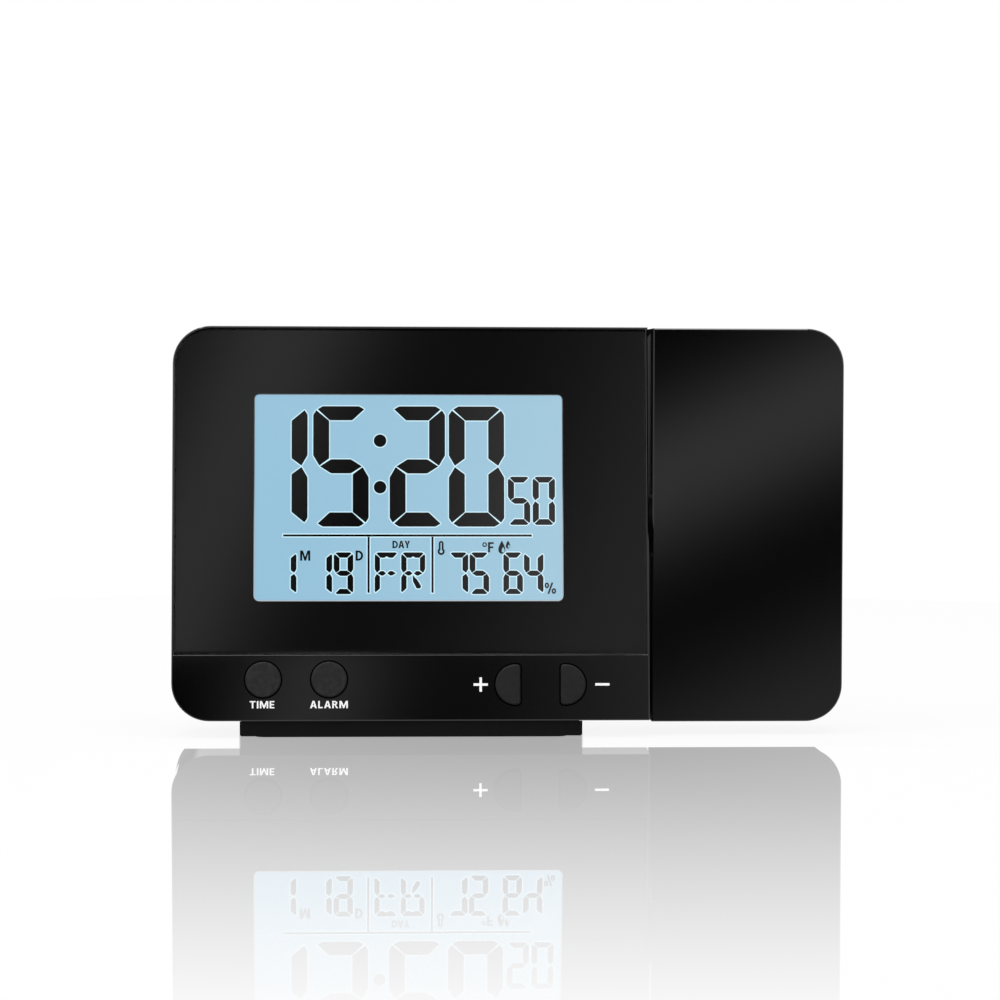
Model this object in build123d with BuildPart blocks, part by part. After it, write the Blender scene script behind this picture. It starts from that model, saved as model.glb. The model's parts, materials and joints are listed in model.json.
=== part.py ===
from build123d import *
import os
from math import cos, hypot, radians, sin

# Projection alarm clock: a leaning display body on a wedge stand, and a projector arm that turns
# about a horizontal hub beside it.  Millimetres, +Z up, +X to the right seen from the front,
# origin under the middle of the whole clock.  On the leaning body "up" is measured along the
# face from the hub axis and "depth" straight into the case from its front face.

os.makedirs("parts", exist_ok=True)

# ------------------------------------------------------------------ driving dimensions
# Case
body_width = 106.9
arm_width = 43.1
arm_gap = 0.9
arm_rise = 0.6
case_height = 88.6
case_depth = 22.0
overall_depth = 40.0
foot_height = 1.55
lean_angle = 6.0
wall = 2.0
body_corner = 8.5
arm_corner = 8.3
arm_rear_round = 4.0
arm_inner_edge = 1.5
edge_break = 0.25
hole_break = 0.12
pivot_depth = 11.0
arm_parting = 5.0
lip_height = 1.5
fit_gap = 0.1
step_gap = 0.05

# Front panel and display
rim = 0.5
strip_height = 14.75
panel_thickness = 1.5
panel_edge = 0.2
mask_thickness = 0.12
front_wall = 1.5
window_left = 18.2
window_top = 15.2
window_width = 69.5
window_height = 46.65
window_corner = 1.3
glass_border = 2.2
glass_thickness = 2.2
guide_thickness = 3.0
guide_inset = 1.2
frame_wall = 2.0
zebra_width = 1.8
zebra_length = 60.0
led_block = (1.0, 3.4)
led_pitch = 15.0

# Boards
board_thickness = 1.6
board_depth = 9.0
board_margin_left = 10.0
board_margin_right = 7.9
board_margin_top = 5.8
board_margin_bottom = 2.8
blob_radius = 7.0
blob_height = 1.6
crystal_radius = 1.5
crystal_length = 6.2
buzzer_radius = 6.0
buzzer_height = 4.2
sensor_size = (5.0, 7.0, 3.0)
inlet_width = 2.9
inlet_height = 7.8
inlet_shell = 0.3
inlet_mouth = 5.5
inlet_rise = 12.0

# Keys
round_key_radius = 3.95
d_key_radius = 4.5
d_key_flat = 1.05
d_key_corner = 0.7
key_gap = 0.25
key_proud = 0.6
key_travel = 0.6
key_edge = 0.3
key_flange = 0.8
key_ear = 0.9
key_ear_height = 5.0
key_row = 9.25
d_key_row = 8.05
time_key_x = 20.4
alarm_key_x = 35.1
plus_key_x = 76.8
minus_key_x = 88.0
switch_size = 6.0
switch_height = 3.4
plunger_radius = 1.75
plunger_proud = 0.8
plunger_gap = 0.08
plunger_rest = 0.1

# Snooze bar
snooze_length = 52.0
snooze_width = 8.0
snooze_corner = 2.0
snooze_gap = 0.25
snooze_sunk = 0.1
snooze_travel = 0.8
snooze_flange = 0.9
snooze_x = 54.0
snooze_switch_height = 4.0
snooze_plunger_radius = 1.4

# Stand and battery bay
stand_left = 15.2
stand_width = 76.65
foot_setback = 1.5
stand_rear_edge = 2.6
stand_top = 0.0
stand_round = 1.6
stand_taper = 0.35
pad_proud = 0.3
pad_recess = 0.7
pad_length = 70.0
pad_width = 5.0
pad_inset = 3.5
cell_radius = 5.25
cell_length = 43.5
cell_nub_radius = 1.9
cell_nub = 1.0
cell_pitch = 11.0
cell_gap = 0.2
contact_thickness = 0.4
contact_size = 8.6
spring_length = 3.2
spring_height = 8.0
spring_strip = 0.3
spring_width = 6.0
bay_wall = 1.2
door_low = 3.2
door_thickness = 1.8
door_ledge = 1.4
door_gap = 0.15
door_tab_width = 5.0
door_tab_reach = 1.4
door_tab_thickness = 0.8
door_tab_spacing = 34.0
scoop_radius = 7.0
scoop_depth = 1.2
grip_ribs = 4
grip_length = 16.0
grip_pitch = 1.6
grip_width = 0.7
grip_proud = 0.4

# Fasteners
boss_radius = 2.6
tube_radius = 3.7
head_radius = 2.2
head_height = 1.5
head_gap = 0.4
head_sink = 5.0
screw_seat = 2.0
shank_radius = 1.1
shank_length = 9.0
thread_gap = 0.03
shank_gap = 0.3
drive_length = 2.6
drive_width = 0.6
body_boss_left = 6.0
body_boss_right = 5.0
body_boss_end = 7.8
arm_boss_left = 5.0
arm_boss_right = 7.5
arm_boss_end = 8.2
board_boss_radius = 2.2
board_head_radius = 1.8
board_head_height = 1.2
board_shank_radius = 0.85
board_shank_length = 4.0
board_boss_end = 7.5
board_boss_low = 17.5
board_boss_inset = 3.0

# Hub
neck_radius = 5.0
neck_gap = 0.05
flange_radius = 7.3
flange_thickness = 1.8
washer_thickness = 0.8
washer_outer = 7.2
spacer_radius = 7.0
square_neck = 9.0
lead_radius = 1.3
lead_gap = 0.3

# Projector
lens_x = 19.2
lens_to_rear = 9.4
led_board_up = 8.0
led_board_size = 14.0
led_board_thickness = 1.2
led_radius = 2.5
led_rim = 2.9
led_rim_height = 1.0
led_height = 5.2
tube_outer = 6.0
tube_top = 28.8
tube_flange = 7.2
tube_flange_thickness = 1.0
shoulder_bore = 3.2
shoulder_thickness = 0.8
condenser_up = 16.0
condenser_thickness = 2.5
condenser_edge = 1.0
film_thickness = 1.1
barrel_radius = 4.0
barrel_bore = 3.1
barrel_clearance = 0.6
barrel_length = 15.0
barrel_gap = 0.08
objective_radius = 3.55
objective_thickness = 2.6
objective_edge = 1.2
focus_travel = 2.4
wheel_thickness = 4.0
wheel_gap = 0.2
wheel_notches = 30
wheel_notch_depth = 0.5
wheel_notch_width = 0.9
shelf_thickness = 1.2
shelf_half_width = 11.5
rib_spacing = 6.0
rib_thickness = 1.2
rib_low = 13.0
rib_high = 25.0
bezel_radius = 5.3
bezel_neck_radius = 4.9
bezel_bore = 4.3
bezel_flange = 0.8
bezel_neck = 2.7
lead_bend = 3.6

# Rear wall grilles
sound_hole_radius = 0.8
sound_hole_ring = 3.0
sound_hole_count = 6
vent_length = 9.0
vent_width = 1.2
vent_pitch = 3.0
vent_count = 5

# ------------------------------------------------------------------ places worked out
lean_cos = cos(radians(lean_angle))
lean_sin = sin(radians(lean_angle))
half_height = case_height / 2
below_axis = (case_depth - pivot_depth) * lean_sin + half_height * lean_cos
axis_height = foot_height + below_axis
body_left = -(body_width + arm_gap + arm_width) / 2
body_right = body_left + body_width
arm_left = body_right + arm_gap
arm_right = arm_left + arm_width
pivot_y = -overall_depth / 2 + pivot_depth * lean_cos + half_height * lean_sin
body_parting = pivot_depth
arm_low = arm_rise - half_height
arm_high = arm_rise + half_height

face = Plane(
    origin=(0, pivot_y - pivot_depth * lean_cos, axis_height + pivot_depth * lean_sin),
    x_dir=(1, 0, 0),
    z_dir=(0, -lean_cos, lean_sin),
)
arm_face = Plane(origin=(0, pivot_y - pivot_depth, axis_height), x_dir=(1, 0, 0), z_dir=(0, -1, 0))
inward = Axis(face.origin, -face.z_dir)
arm_inward = Axis(arm_face.origin, -arm_face.z_dir)
rise = Axis(face.origin, face.y_dir)

panel_seat = panel_thickness + mask_thickness + fit_gap
panel_bottom = -half_height + strip_height
glass_depth = panel_seat + front_wall + fit_gap
guide_depth = glass_depth + glass_thickness + fit_gap
board_rear = board_depth + board_thickness
window_x = body_left + window_left + window_width / 2
window_up = half_height - window_top - window_height / 2
glass_width = window_width + 2 * glass_border
glass_height = window_height + 2 * glass_border
frame_width = glass_width + 2 * (frame_wall + fit_gap)
frame_height = glass_height + 2 * (frame_wall + fit_gap)
zebra_up = window_up - glass_height / 2 + zebra_width / 2 + fit_gap
guide_low = zebra_up + zebra_width / 2 + fit_gap
guide_high = window_up + glass_height / 2 - guide_inset
guide_left = window_x - glass_width / 2 + guide_inset
guide_right = window_x + glass_width / 2 - guide_inset

board_left = body_left + board_margin_left
board_right = body_right - board_margin_right
board_low = -half_height + board_margin_bottom
board_high = half_height - board_margin_top
body_bosses = [
    (body_left + body_boss_left, half_height - body_boss_end),
    (body_left + body_boss_left, body_boss_end - half_height),
    (body_right - body_boss_right, half_height - body_boss_end),
    (body_right - body_boss_right, body_boss_end - half_height),
]
board_bosses = [
    (board_left + board_boss_inset, half_height - board_boss_end),
    (board_right - board_boss_inset, half_height - board_boss_end),
    (board_left + board_boss_inset, board_boss_low - half_height),
    (board_right - board_boss_inset, board_boss_low - half_height),
]
arm_bosses = [
    (arm_left + arm_boss_left, arm_high - arm_boss_end),
    (arm_left + arm_boss_left, arm_low + arm_boss_end),
    (arm_right - arm_boss_right, arm_high - arm_boss_end),
    (arm_right - arm_boss_right, arm_low + arm_boss_end),
]
seat_depth = case_depth - head_sink
boss_end = seat_depth - screw_seat - fit_gap

# Each key: place of its round centre along X and up, and which side is cut flat.
key_places = {
    "time": (body_left + time_key_x, key_row - half_height, 0),
    "alarm": (body_left + alarm_key_x, key_row - half_height, 0),
    "plus": (body_left + plus_key_x, d_key_row - half_height, 1),
    "minus": (body_left + minus_key_x, d_key_row - half_height, -1),
}
key_back = wall + fit_gap + key_flange
switch_front = board_depth - switch_height
plunger_front = switch_front - plunger_proud
well_floor = switch_front + plunger_proud + key_travel + plunger_rest
plunger_back = well_floor - key_travel - plunger_rest

snooze_place = body_left + snooze_x
snooze_top = half_height - snooze_sunk
snooze_low = half_height - wall - fit_gap - snooze_flange
snooze_switch_depth = board_rear + snooze_switch_height / 2
snooze_plunger_top = snooze_low - snooze_travel - snooze_flange
snooze_switch_top = snooze_plunger_top - snooze_travel - plunger_rest
snooze_well = snooze_switch_top - snooze_travel - 2 * plunger_rest
snooze_switch_low = snooze_well - 1.0

hub_outer_flange = body_right - wall - washer_thickness - neck_gap
spacer_left = body_right + neck_gap
spacer_right = arm_left - neck_gap / 2
inner_flange = arm_left + wall + neck_gap

lens_centre = arm_left + lens_x
lens_depth = case_depth - lens_to_rear
tube_low = led_board_up + led_board_thickness
tube_bore = barrel_radius + barrel_gap
wheel_radius = lens_depth - wall - wheel_gap
wheel_low = tube_top + wheel_gap
shelf_up = wheel_low + wheel_thickness + wheel_gap

stand_x_low = body_left + stand_left
stand_middle = stand_x_low + stand_width / 2
stand_rear = overall_depth / 2
foot_front = foot_setback - overall_depth / 2


def body_point(depth, up):
    """Y and Z of a point in the leaning body."""
    y = pivot_y + (depth - pivot_depth) * lean_cos + up * lean_sin
    z = axis_height - (depth - pivot_depth) * lean_sin + up * lean_cos
    return (y, z)


def body_depth(y, z):
    """Depth into the leaning body of a point given by Y and Z."""
    return pivot_depth + (y - pivot_y) * lean_cos - (z - axis_height) * lean_sin


def spot(base, x, up, depth=0.0):
    """Plane parallel to base, moved along it and into the case."""
    return Plane(base.from_local_coords((x, up, -depth)), x_dir=base.x_dir, z_dir=base.z_dir)


def across_body(up, x=0.0, depth=0.0):
    """Plane across the leaning body, facing up it; its own Y runs into the case."""
    y, z = body_point(depth, up)
    return Plane(origin=(x, y, z), x_dir=(1, 0, 0), z_dir=(0, lean_sin, lean_cos))


def across_arm(up, x=0.0, depth=0.0):
    """Level plane across the arm; its own Y runs into the case."""
    origin = (x, pivot_y - pivot_depth + depth, axis_height + up)
    return Plane(origin=origin, x_dir=(1, 0, 0), z_dir=(0, 0, 1))


def lens_plane(up):
    """Level plane about the projector's optical axis."""
    return across_arm(up, lens_centre, lens_depth)


def hub_plane(x):
    """Plane square to the hub axis, facing +X, with its own X running to the rear."""
    return Plane(origin=(x, pivot_y, axis_height), x_dir=(0, 1, 0), z_dir=(1, 0, 0))


def slab(plane, x_low, x_high, low, high, corner=0.0, rounded="left"):
    """Rectangle given by its edges, with the corners on one side rounded."""
    with BuildSketch(plane) as outline:
        with Locations(((x_low + x_high) / 2, (low + high) / 2)):
            Rectangle(x_high - x_low, high - low)
        if corner > 0:
            columns = outline.vertices().group_by(Axis.X)
            left_corners = columns[0].sort_by(Axis.Y)
            chosen = {"left": left_corners, "right": columns[-1], "top_left": left_corners[-1]}
            fillet(chosen[rounded], corner)
    return outline.sketch


def body_outline(depth, inset=0.0):
    """The body's outline at a depth, drawn in by inset all round."""
    return slab(
        face.offset(-depth),
        body_left + inset,
        body_right - inset,
        inset - half_height,
        half_height - inset,
        body_corner - inset,
        "left",
    )


def arm_outline(depth, inset=0.0):
    """The arm's outline at a depth, drawn in by inset all round."""
    return slab(
        arm_face.offset(-depth),
        arm_left + inset,
        arm_right - inset,
        arm_low + inset,
        arm_high - inset,
        arm_corner - inset,
        "right",
    )


def discs(plane, centres, radius):
    """Circles of one radius at several places."""
    with BuildSketch(plane) as circles:
        with Locations(*centres):
            Circle(radius)
    return circles.sketch


def disc(plane, radius, bore=0.0):
    """One circle or ring about the plane's origin."""
    with BuildSketch(plane) as ring:
        Circle(radius)
        if bore > 0:
            Circle(bore, mode=Mode.SUBTRACT)
    return ring.sketch


def box_sketch(plane, width, height, corner=0.0):
    """Rectangle about the plane's origin."""
    with BuildSketch(plane) as outline:
        Rectangle(width, height)
        if corner > 0:
            fillet(outline.vertices(), corner)
    return outline.sketch


def open_notch(plane, radius, depth):
    """Round-bottomed slot about the projector's axis line, open to the front."""
    with BuildSketch(plane) as notch:
        with Locations((lens_centre, depth)):
            Circle(radius)
        with Locations((lens_centre, depth / 2)):
            Rectangle(2 * radius, depth)
    return notch.sketch


def drive_crosses(plane, centres):
    """Cross recesses for a screwdriver."""
    with BuildSketch(plane) as crosses:
        with Locations(*centres):
            Rectangle(drive_length, drive_width)
            Rectangle(drive_width, drive_length)
    return crosses.sketch


def key_outline(plane, flat, grow=0.0):
    """A disc, or a disc cut flat on one side with its two corners rounded."""
    with BuildSketch(plane) as outline:
        if flat == 0:
            Circle(round_key_radius)
        else:
            Circle(d_key_radius)
            with Locations((flat * (d_key_flat + d_key_radius), 0)):
                Rectangle(2 * d_key_radius, 3 * d_key_radius, mode=Mode.SUBTRACT)
            fillet(outline.vertices(), d_key_corner)
        if grow > 0:
            offset(amount=grow)
    return outline.sketch


def key_middle(flat):
    """Distance from a key's round centre to the middle of its width."""
    return flat * (d_key_flat - d_key_radius) / 2


# The stand's rear slope: a plane facing back and up, its own Y running up the slope.
slope_foot = (stand_rear, stand_rear_edge)
slope_head = body_point(case_depth, stand_top)
slope_length = hypot(slope_head[0] - slope_foot[0], slope_head[1] - slope_foot[1])
slope_up = (
    (slope_head[0] - slope_foot[0]) / slope_length,
    (slope_head[1] - slope_foot[1]) / slope_length,
)
slope = Plane(
    origin=(stand_middle, slope_foot[0], slope_foot[1]),
    x_dir=(-1, 0, 0),
    z_dir=(0, slope_up[1], -slope_up[0]),
)


def slope_point(along, inset):
    """Y and Z of a point up the slope and under its surface."""
    y = slope_foot[0] + slope_up[0] * along - slope_up[1] * inset
    z = slope_foot[1] + slope_up[1] * along + slope_up[0] * inset
    return (y, z)


def slope_reach(depth, inset):
    """How far up the slope a line under its surface meets a depth in the body."""
    start = body_depth(*slope_point(0, inset))
    rate = slope_up[0] * lean_cos - slope_up[1] * lean_sin
    return (depth - start) / rate


bay_length = cell_length + cell_nub + spring_length + 2 * contact_thickness
bay_width = cell_pitch + 2 * cell_radius + 2 * cell_gap
door_width = bay_width + 2 * door_ledge
door_length = bay_length + 2 * door_ledge
door_middle = door_low + door_width / 2
bay_surface = door_thickness + fit_gap
bay_depth = bay_surface + 2 * cell_radius + cell_gap
tub_margin = door_ledge + door_gap + bay_wall
cell_depth = bay_surface + cell_radius + cell_gap / 2
cell_places = [door_middle - cell_pitch / 2, door_middle + cell_pitch / 2]

# ------------------------------------------------------------------ front housing
with BuildPart() as front_housing:
    extrude(body_outline(0), amount=-body_parting)
    front_edges = front_housing.faces().sort_by(inward)[0].edges()
    chamfer(front_edges, edge_break)
    # Hollow behind the front wall, deeper in where the panel is let in
    extrude(body_outline(wall, wall), amount=wall - body_parting, mode=Mode.SUBTRACT)
    panel_back = slab(
        face.offset(-wall),
        body_left + wall / 2,
        body_right - wall / 2,
        panel_bottom - wall / 2,
        half_height - wall / 2,
        body_corner - wall / 2,
        "top_left",
    )
    extrude(panel_back, amount=wall - panel_seat - front_wall)
    # Bed for the front panel
    panel_bed = slab(
        face,
        body_left + rim,
        body_right - rim,
        panel_bottom,
        half_height - rim,
        body_corner - rim,
        "top_left",
    )
    extrude(panel_bed, amount=-panel_seat, mode=Mode.SUBTRACT)
    window_cut = box_sketch(
        spot(face, window_x, window_up), window_width + glass_border, window_height + glass_border
    )
    extrude(window_cut, amount=-glass_depth, mode=Mode.SUBTRACT)
    # Tongue all round the parting line
    extrude(body_outline(body_parting, wall / 2 + step_gap), amount=-lip_height)
    extrude(body_outline(body_parting, wall), amount=-lip_height, mode=Mode.SUBTRACT)
    # Screw bosses for the rear housing and for the board
    extrude(discs(face.offset(-wall), body_bosses, boss_radius), amount=wall - boss_end)
    board_boss_start = face.offset(-panel_seat)
    extrude(
        discs(board_boss_start, board_bosses, board_boss_radius), amount=panel_seat - board_depth
    )
    screw_holes = discs(face.offset(-boss_end), body_bosses, shank_radius + thread_gap)
    extrude(screw_holes, amount=shank_length, mode=Mode.SUBTRACT)
    board_holes = discs(face.offset(-board_depth), board_bosses, board_shank_radius + thread_gap)
    extrude(board_holes, amount=board_shank_length, mode=Mode.SUBTRACT)
    # Key holes in the strip
    for key_x, key_up, flat in key_places.values():
        hole = key_outline(spot(face, key_x, key_up), flat, key_gap)
        extrude(hole, amount=-wall, mode=Mode.SUBTRACT)
    front_openings = front_housing.faces().sort_by(inward)[0].inner_wires()
    chamfer([edge for wire in front_openings for edge in wire.edges()], hole_break)
    # Half of the snooze opening and of the hub bore
    snooze_cut = box_sketch(
        across_body(half_height, snooze_place, pivot_depth),
        snooze_length + 2 * snooze_gap,
        snooze_width + 2 * snooze_gap,
        snooze_corner + snooze_gap,
    )
    extrude(snooze_cut, amount=-wall, mode=Mode.SUBTRACT)
    hub_cut = disc(hub_plane(body_right - wall), neck_radius + neck_gap)
    extrude(hub_cut, amount=wall, mode=Mode.SUBTRACT)
front_housing.part.label = "front_housing"
export_step(front_housing.part, "parts/front_housing.step")

# ------------------------------------------------------------------ rear housing with its stand
floor_level = pad_proud
bottom_under = -half_height - step_gap
foot_corner_depth = pivot_depth + (foot_front - pivot_y - bottom_under * lean_sin) / lean_cos
stand_profile = [
    (foot_front, floor_level),
    (stand_rear, floor_level),
    slope_foot,
    slope_head,
    body_point(case_depth - wall / 2, stand_top),
    body_point(case_depth - wall / 2, wall / 2 - half_height),
    body_point(body_parting, wall / 2 - half_height),
    body_point(body_parting, bottom_under),
    body_point(foot_corner_depth, bottom_under),
]
inner_depth = case_depth - wall - lip_height
floor_top = floor_level + wall
slope_start = (floor_top - slope_point(0, wall)[1]) / slope_up[1]
stand_cavity = [
    body_point(inner_depth, wall - half_height),
    body_point(case_depth, wall - half_height),
    (body_point(case_depth, wall - half_height)[0] + wall, floor_top),
    slope_point(slope_start, wall),
    slope_point(slope_reach(inner_depth, wall), wall),
]

with BuildPart() as rear_housing:
    extrude(body_outline(body_parting), amount=body_parting - case_depth)
    rear_edges = rear_housing.faces().sort_by(inward)[-1].edges()
    chamfer(rear_edges, edge_break)
    with BuildSketch(Plane.YZ.offset(stand_x_low)):
        with BuildLine():
            Polyline(*stand_profile, close=True)
        make_face()
    extrude(amount=stand_width)
    slope_faces = rear_housing.faces().filter_by(Axis((0, 0, 0), slope.z_dir))
    slope_sides = slope_faces.sort_by(Axis.Y)[-1].edges().filter_by(Axis((0, 0, 0), slope.y_dir))
    fillet(slope_sides, stand_round)
    under_sides = rear_housing.faces().sort_by(Axis.Z)[0].edges().filter_by(Axis.Y)
    chamfer(under_sides, stand_taper)
    # Hollow body and hollow stand
    hollow = body_outline(body_parting, wall)
    extrude(hollow, amount=body_parting + wall - case_depth, mode=Mode.SUBTRACT)
    groove = body_outline(body_parting, wall / 2)
    extrude(groove, amount=-lip_height - fit_gap, mode=Mode.SUBTRACT)
    with BuildSketch(Plane.YZ.offset(stand_x_low + wall)):
        with BuildLine():
            Polyline(*stand_cavity, close=True)
        make_face()
    extrude(amount=stand_width - 2 * wall, mode=Mode.SUBTRACT)
    # Battery tub with its door recess
    bay_plane = spot(slope, 0, door_middle)
    tub = box_sketch(
        spot(slope, 0, door_middle, wall / 2), bay_length + 2 * tub_margin, bay_width + 2 * tub_margin
    )
    extrude(tub, amount=wall / 2 - bay_depth - bay_wall)
    split(bisect_by=Plane.XY.offset(floor_level), keep=Keep.TOP)
    door_recess = box_sketch(bay_plane, door_length + 2 * door_gap, door_width + 2 * door_gap)
    extrude(door_recess, amount=-bay_surface, mode=Mode.SUBTRACT)
    extrude(box_sketch(bay_plane, bay_length, bay_width), amount=-bay_depth, mode=Mode.SUBTRACT)
    # Pockets that the door's tabs turn in, under a lip
    pocket_reach = hypot(door_tab_reach, door_thickness) + door_gap
    lip_thickness = door_thickness - door_tab_thickness - door_gap
    for side in (-1, 1):
        pocket_plane = Plane(
            origin=(stand_middle + side * door_tab_spacing / 2, *slope_point(door_low, 0)),
            x_dir=slope.y_dir,
            z_dir=(1, 0, 0),
        )
        with BuildSketch(pocket_plane):
            Circle(pocket_reach)
            with Locations((0, lip_thickness - pocket_reach)):
                Rectangle(2 * pocket_reach, 2 * pocket_reach, mode=Mode.SUBTRACT)
        extrude(amount=door_tab_width / 2 + door_gap, both=True, mode=Mode.SUBTRACT)
    # Finger scoop above the door
    scoop = disc(spot(slope, 0, door_low + door_width), scoop_radius)
    extrude(scoop, amount=-scoop_depth, mode=Mode.SUBTRACT)
    # Screw tubes, open to the rear
    seat_front = face.offset(screw_seat - seat_depth)
    extrude(discs(seat_front, body_bosses, tube_radius), amount=seat_depth - screw_seat - case_depth)
    head_holes = discs(face.offset(-case_depth), body_bosses, head_radius + head_gap)
    extrude(head_holes, amount=head_sink, mode=Mode.SUBTRACT)
    shank_holes = discs(face.offset(-seat_depth), body_bosses, shank_radius + shank_gap)
    extrude(shank_holes, amount=screw_seat, mode=Mode.SUBTRACT)
    # Sound holes behind the buzzer and air slots behind the climate sensor
    buzzer_spot = (board_left + 2 * buzzer_radius, board_high - 2 * buzzer_radius)
    sensor_spot = (board_right - vent_count * vent_pitch, board_high - vent_length - vent_pitch)
    with BuildSketch(spot(face, *buzzer_spot, case_depth)):
        Circle(sound_hole_radius)
        with PolarLocations(sound_hole_ring, sound_hole_count):
            Circle(sound_hole_radius)
    extrude(amount=wall, mode=Mode.SUBTRACT)
    with BuildSketch(spot(face, *sensor_spot, case_depth)):
        with GridLocations(vent_pitch, vent_pitch, vent_count, 1):
            SlotOverall(vent_length, vent_width, rotation=90)
    extrude(amount=wall, mode=Mode.SUBTRACT)
    # Power inlet opening
    inlet_x = board_right - inlet_width / 2 - fit_gap
    inlet_up = stand_top + inlet_rise
    inlet_cut = box_sketch(
        spot(face, inlet_x, inlet_up, case_depth),
        inlet_width + 2 * key_gap,
        inlet_height + 2 * key_gap,
        key_edge,
    )
    extrude(inlet_cut, amount=wall, mode=Mode.SUBTRACT)
    # Seats for the rubber pads
    pad_rows = [(stand_middle, foot_front + pad_inset), (stand_middle, stand_rear - pad_inset)]
    with BuildSketch(Plane.XY.offset(floor_level)) as pad_seats:
        with Locations(*pad_rows):
            SlotOverall(pad_length + 2 * step_gap, pad_width + 2 * step_gap)
    extrude(amount=pad_recess, mode=Mode.SUBTRACT)
    # The other half of the snooze opening and of the hub bore
    extrude(snooze_cut, amount=-wall, mode=Mode.SUBTRACT)
    extrude(hub_cut, amount=wall, mode=Mode.SUBTRACT)
rear_housing.part.label = "rear_housing"
export_step(rear_housing.part, "parts/rear_housing.step")

with BuildPart() as base_pads:
    with BuildSketch(Plane.XY) as pad_outlines:
        with Locations(*pad_rows):
            SlotOverall(pad_length, pad_width)
    extrude(amount=pad_proud + pad_recess)
base_pads.part.label = "base_pads"
export_step(base_pads.part, "parts/base_pads.step")

# ------------------------------------------------------------------ front panel and display
with BuildPart() as front_panel:
    panel_outline = slab(
        face.offset(-step_gap),
        body_left + rim + fit_gap,
        body_right - rim - fit_gap,
        panel_bottom + fit_gap,
        half_height - rim - fit_gap,
        body_corner - rim - fit_gap,
        "top_left",
    )
    extrude(panel_outline, amount=-panel_thickness)
    chamfer(front_panel.faces().sort_by(inward)[0].edges(), panel_edge)
front_panel.part.label = "front_panel"
export_step(front_panel.part, "parts/front_panel.step")

with BuildPart() as panel_mask:
    mask_front = step_gap + panel_thickness
    mask_outline = slab(
        face.offset(-mask_front),
        body_left + rim + fit_gap,
        body_right - rim - fit_gap,
        panel_bottom + fit_gap,
        half_height - rim - fit_gap,
        body_corner - rim - fit_gap,
        "top_left",
    )
    extrude(mask_outline, amount=-mask_thickness)
    mask_window = box_sketch(
        spot(face, window_x, window_up, mask_front), window_width, window_height, window_corner
    )
    extrude(mask_window, amount=-mask_thickness, mode=Mode.SUBTRACT)
panel_mask.part.label = "panel_mask"
export_step(panel_mask.part, "parts/panel_mask.step")

with BuildPart() as lcd_glass:
    extrude(
        box_sketch(spot(face, window_x, window_up, glass_depth), glass_width, glass_height),
        amount=-glass_thickness,
    )
lcd_glass.part.label = "lcd_glass"
export_step(lcd_glass.part, "parts/lcd_glass.step")

with BuildPart() as backlight_guide:
    guide_outline = slab(
        face.offset(-guide_depth), guide_left, guide_right, guide_low, guide_high
    )
    extrude(guide_outline, amount=-guide_thickness)
    # Slanted back that throws the light forward
    with BuildSketch(Plane(face.from_local_coords((guide_left, 0, 0)), x_dir=-face.z_dir, z_dir=face.y_dir)):
        with BuildLine():
            Polyline(
                (guide_depth + guide_thickness, 0),
                (guide_depth + guide_thickness, guide_left - guide_right),
                (guide_depth + guide_thickness / 2, guide_left - guide_right),
                close=True,
            )
        make_face()
    extrude(amount=half_height, both=True, mode=Mode.SUBTRACT)
backlight_guide.part.label = "backlight_guide"
export_step(backlight_guide.part, "parts/backlight_guide.step")

with BuildPart() as backlight_leds:
    led_column = spot(face, guide_left - led_block[0] / 2 - step_gap, window_up, guide_depth)
    with BuildSketch(led_column):
        with GridLocations(led_pitch, led_pitch, 1, 3):
            Rectangle(*led_block)
    extrude(amount=guide_depth - board_depth)
backlight_leds.part.label = "backlight_leds"
export_step(backlight_leds.part, "parts/backlight_leds.step")

with BuildPart() as lcd_frame:
    frame_front = panel_seat + front_wall
    frame_plane = spot(face, window_x, window_up, frame_front)
    extrude(box_sketch(frame_plane, frame_width, frame_height), amount=frame_front - board_depth)
    extrude(
        box_sketch(frame_plane, glass_width + 2 * fit_gap, glass_height + 2 * fit_gap),
        amount=frame_front - board_depth,
        mode=Mode.SUBTRACT,
    )
lcd_frame.part.label = "lcd_frame"
export_step(lcd_frame.part, "parts/lcd_frame.step")

with BuildPart() as zebra_strip:
    zebra_front = glass_depth + glass_thickness
    zebra_plane = spot(face, window_x, zebra_up, zebra_front)
    extrude(box_sketch(zebra_plane, zebra_length, zebra_width), amount=zebra_front - board_depth)
zebra_strip.part.label = "zebra_strip"
export_step(zebra_strip.part, "parts/zebra_strip.step")

# ------------------------------------------------------------------ main board and what is on it
with BuildPart() as main_board:
    board_outline = slab(face.offset(-board_depth), board_left, board_right, board_low, board_high)
    extrude(board_outline, amount=-board_thickness)
    with Locations(*[spot(face, x, up, board_depth) for x, up in board_bosses]):
        Hole(board_shank_radius + shank_gap, board_thickness)
main_board.part.label = "main_board"
export_step(main_board.part, "parts/main_board.step")

with BuildPart() as controller_chip:
    blob_plane = spot(face, window_x, window_up, board_rear)
    extrude(disc(blob_plane, blob_radius), amount=-blob_height)
    blob_crown = controller_chip.faces().sort_by(inward)[-1].edges()
    chamfer(blob_crown, blob_height * 0.5, blob_height)
controller_chip.part.label = "controller_chip"
export_step(controller_chip.part, "parts/controller_chip.step")

with BuildPart() as quartz_crystal:
    crystal_y, crystal_z = body_point(board_rear + crystal_radius, window_up)
    crystal_x = window_x + 2 * blob_radius
    crystal_plane = Plane(origin=(crystal_x, crystal_y, crystal_z), x_dir=(0, 1, 0), z_dir=(1, 0, 0))
    extrude(disc(crystal_plane, crystal_radius), amount=crystal_length)
    chamfer(quartz_crystal.edges().sort_by(Axis.X)[-1], crystal_radius / 3)
quartz_crystal.part.label = "quartz_crystal"
export_step(quartz_crystal.part, "parts/quartz_crystal.step")

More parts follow.
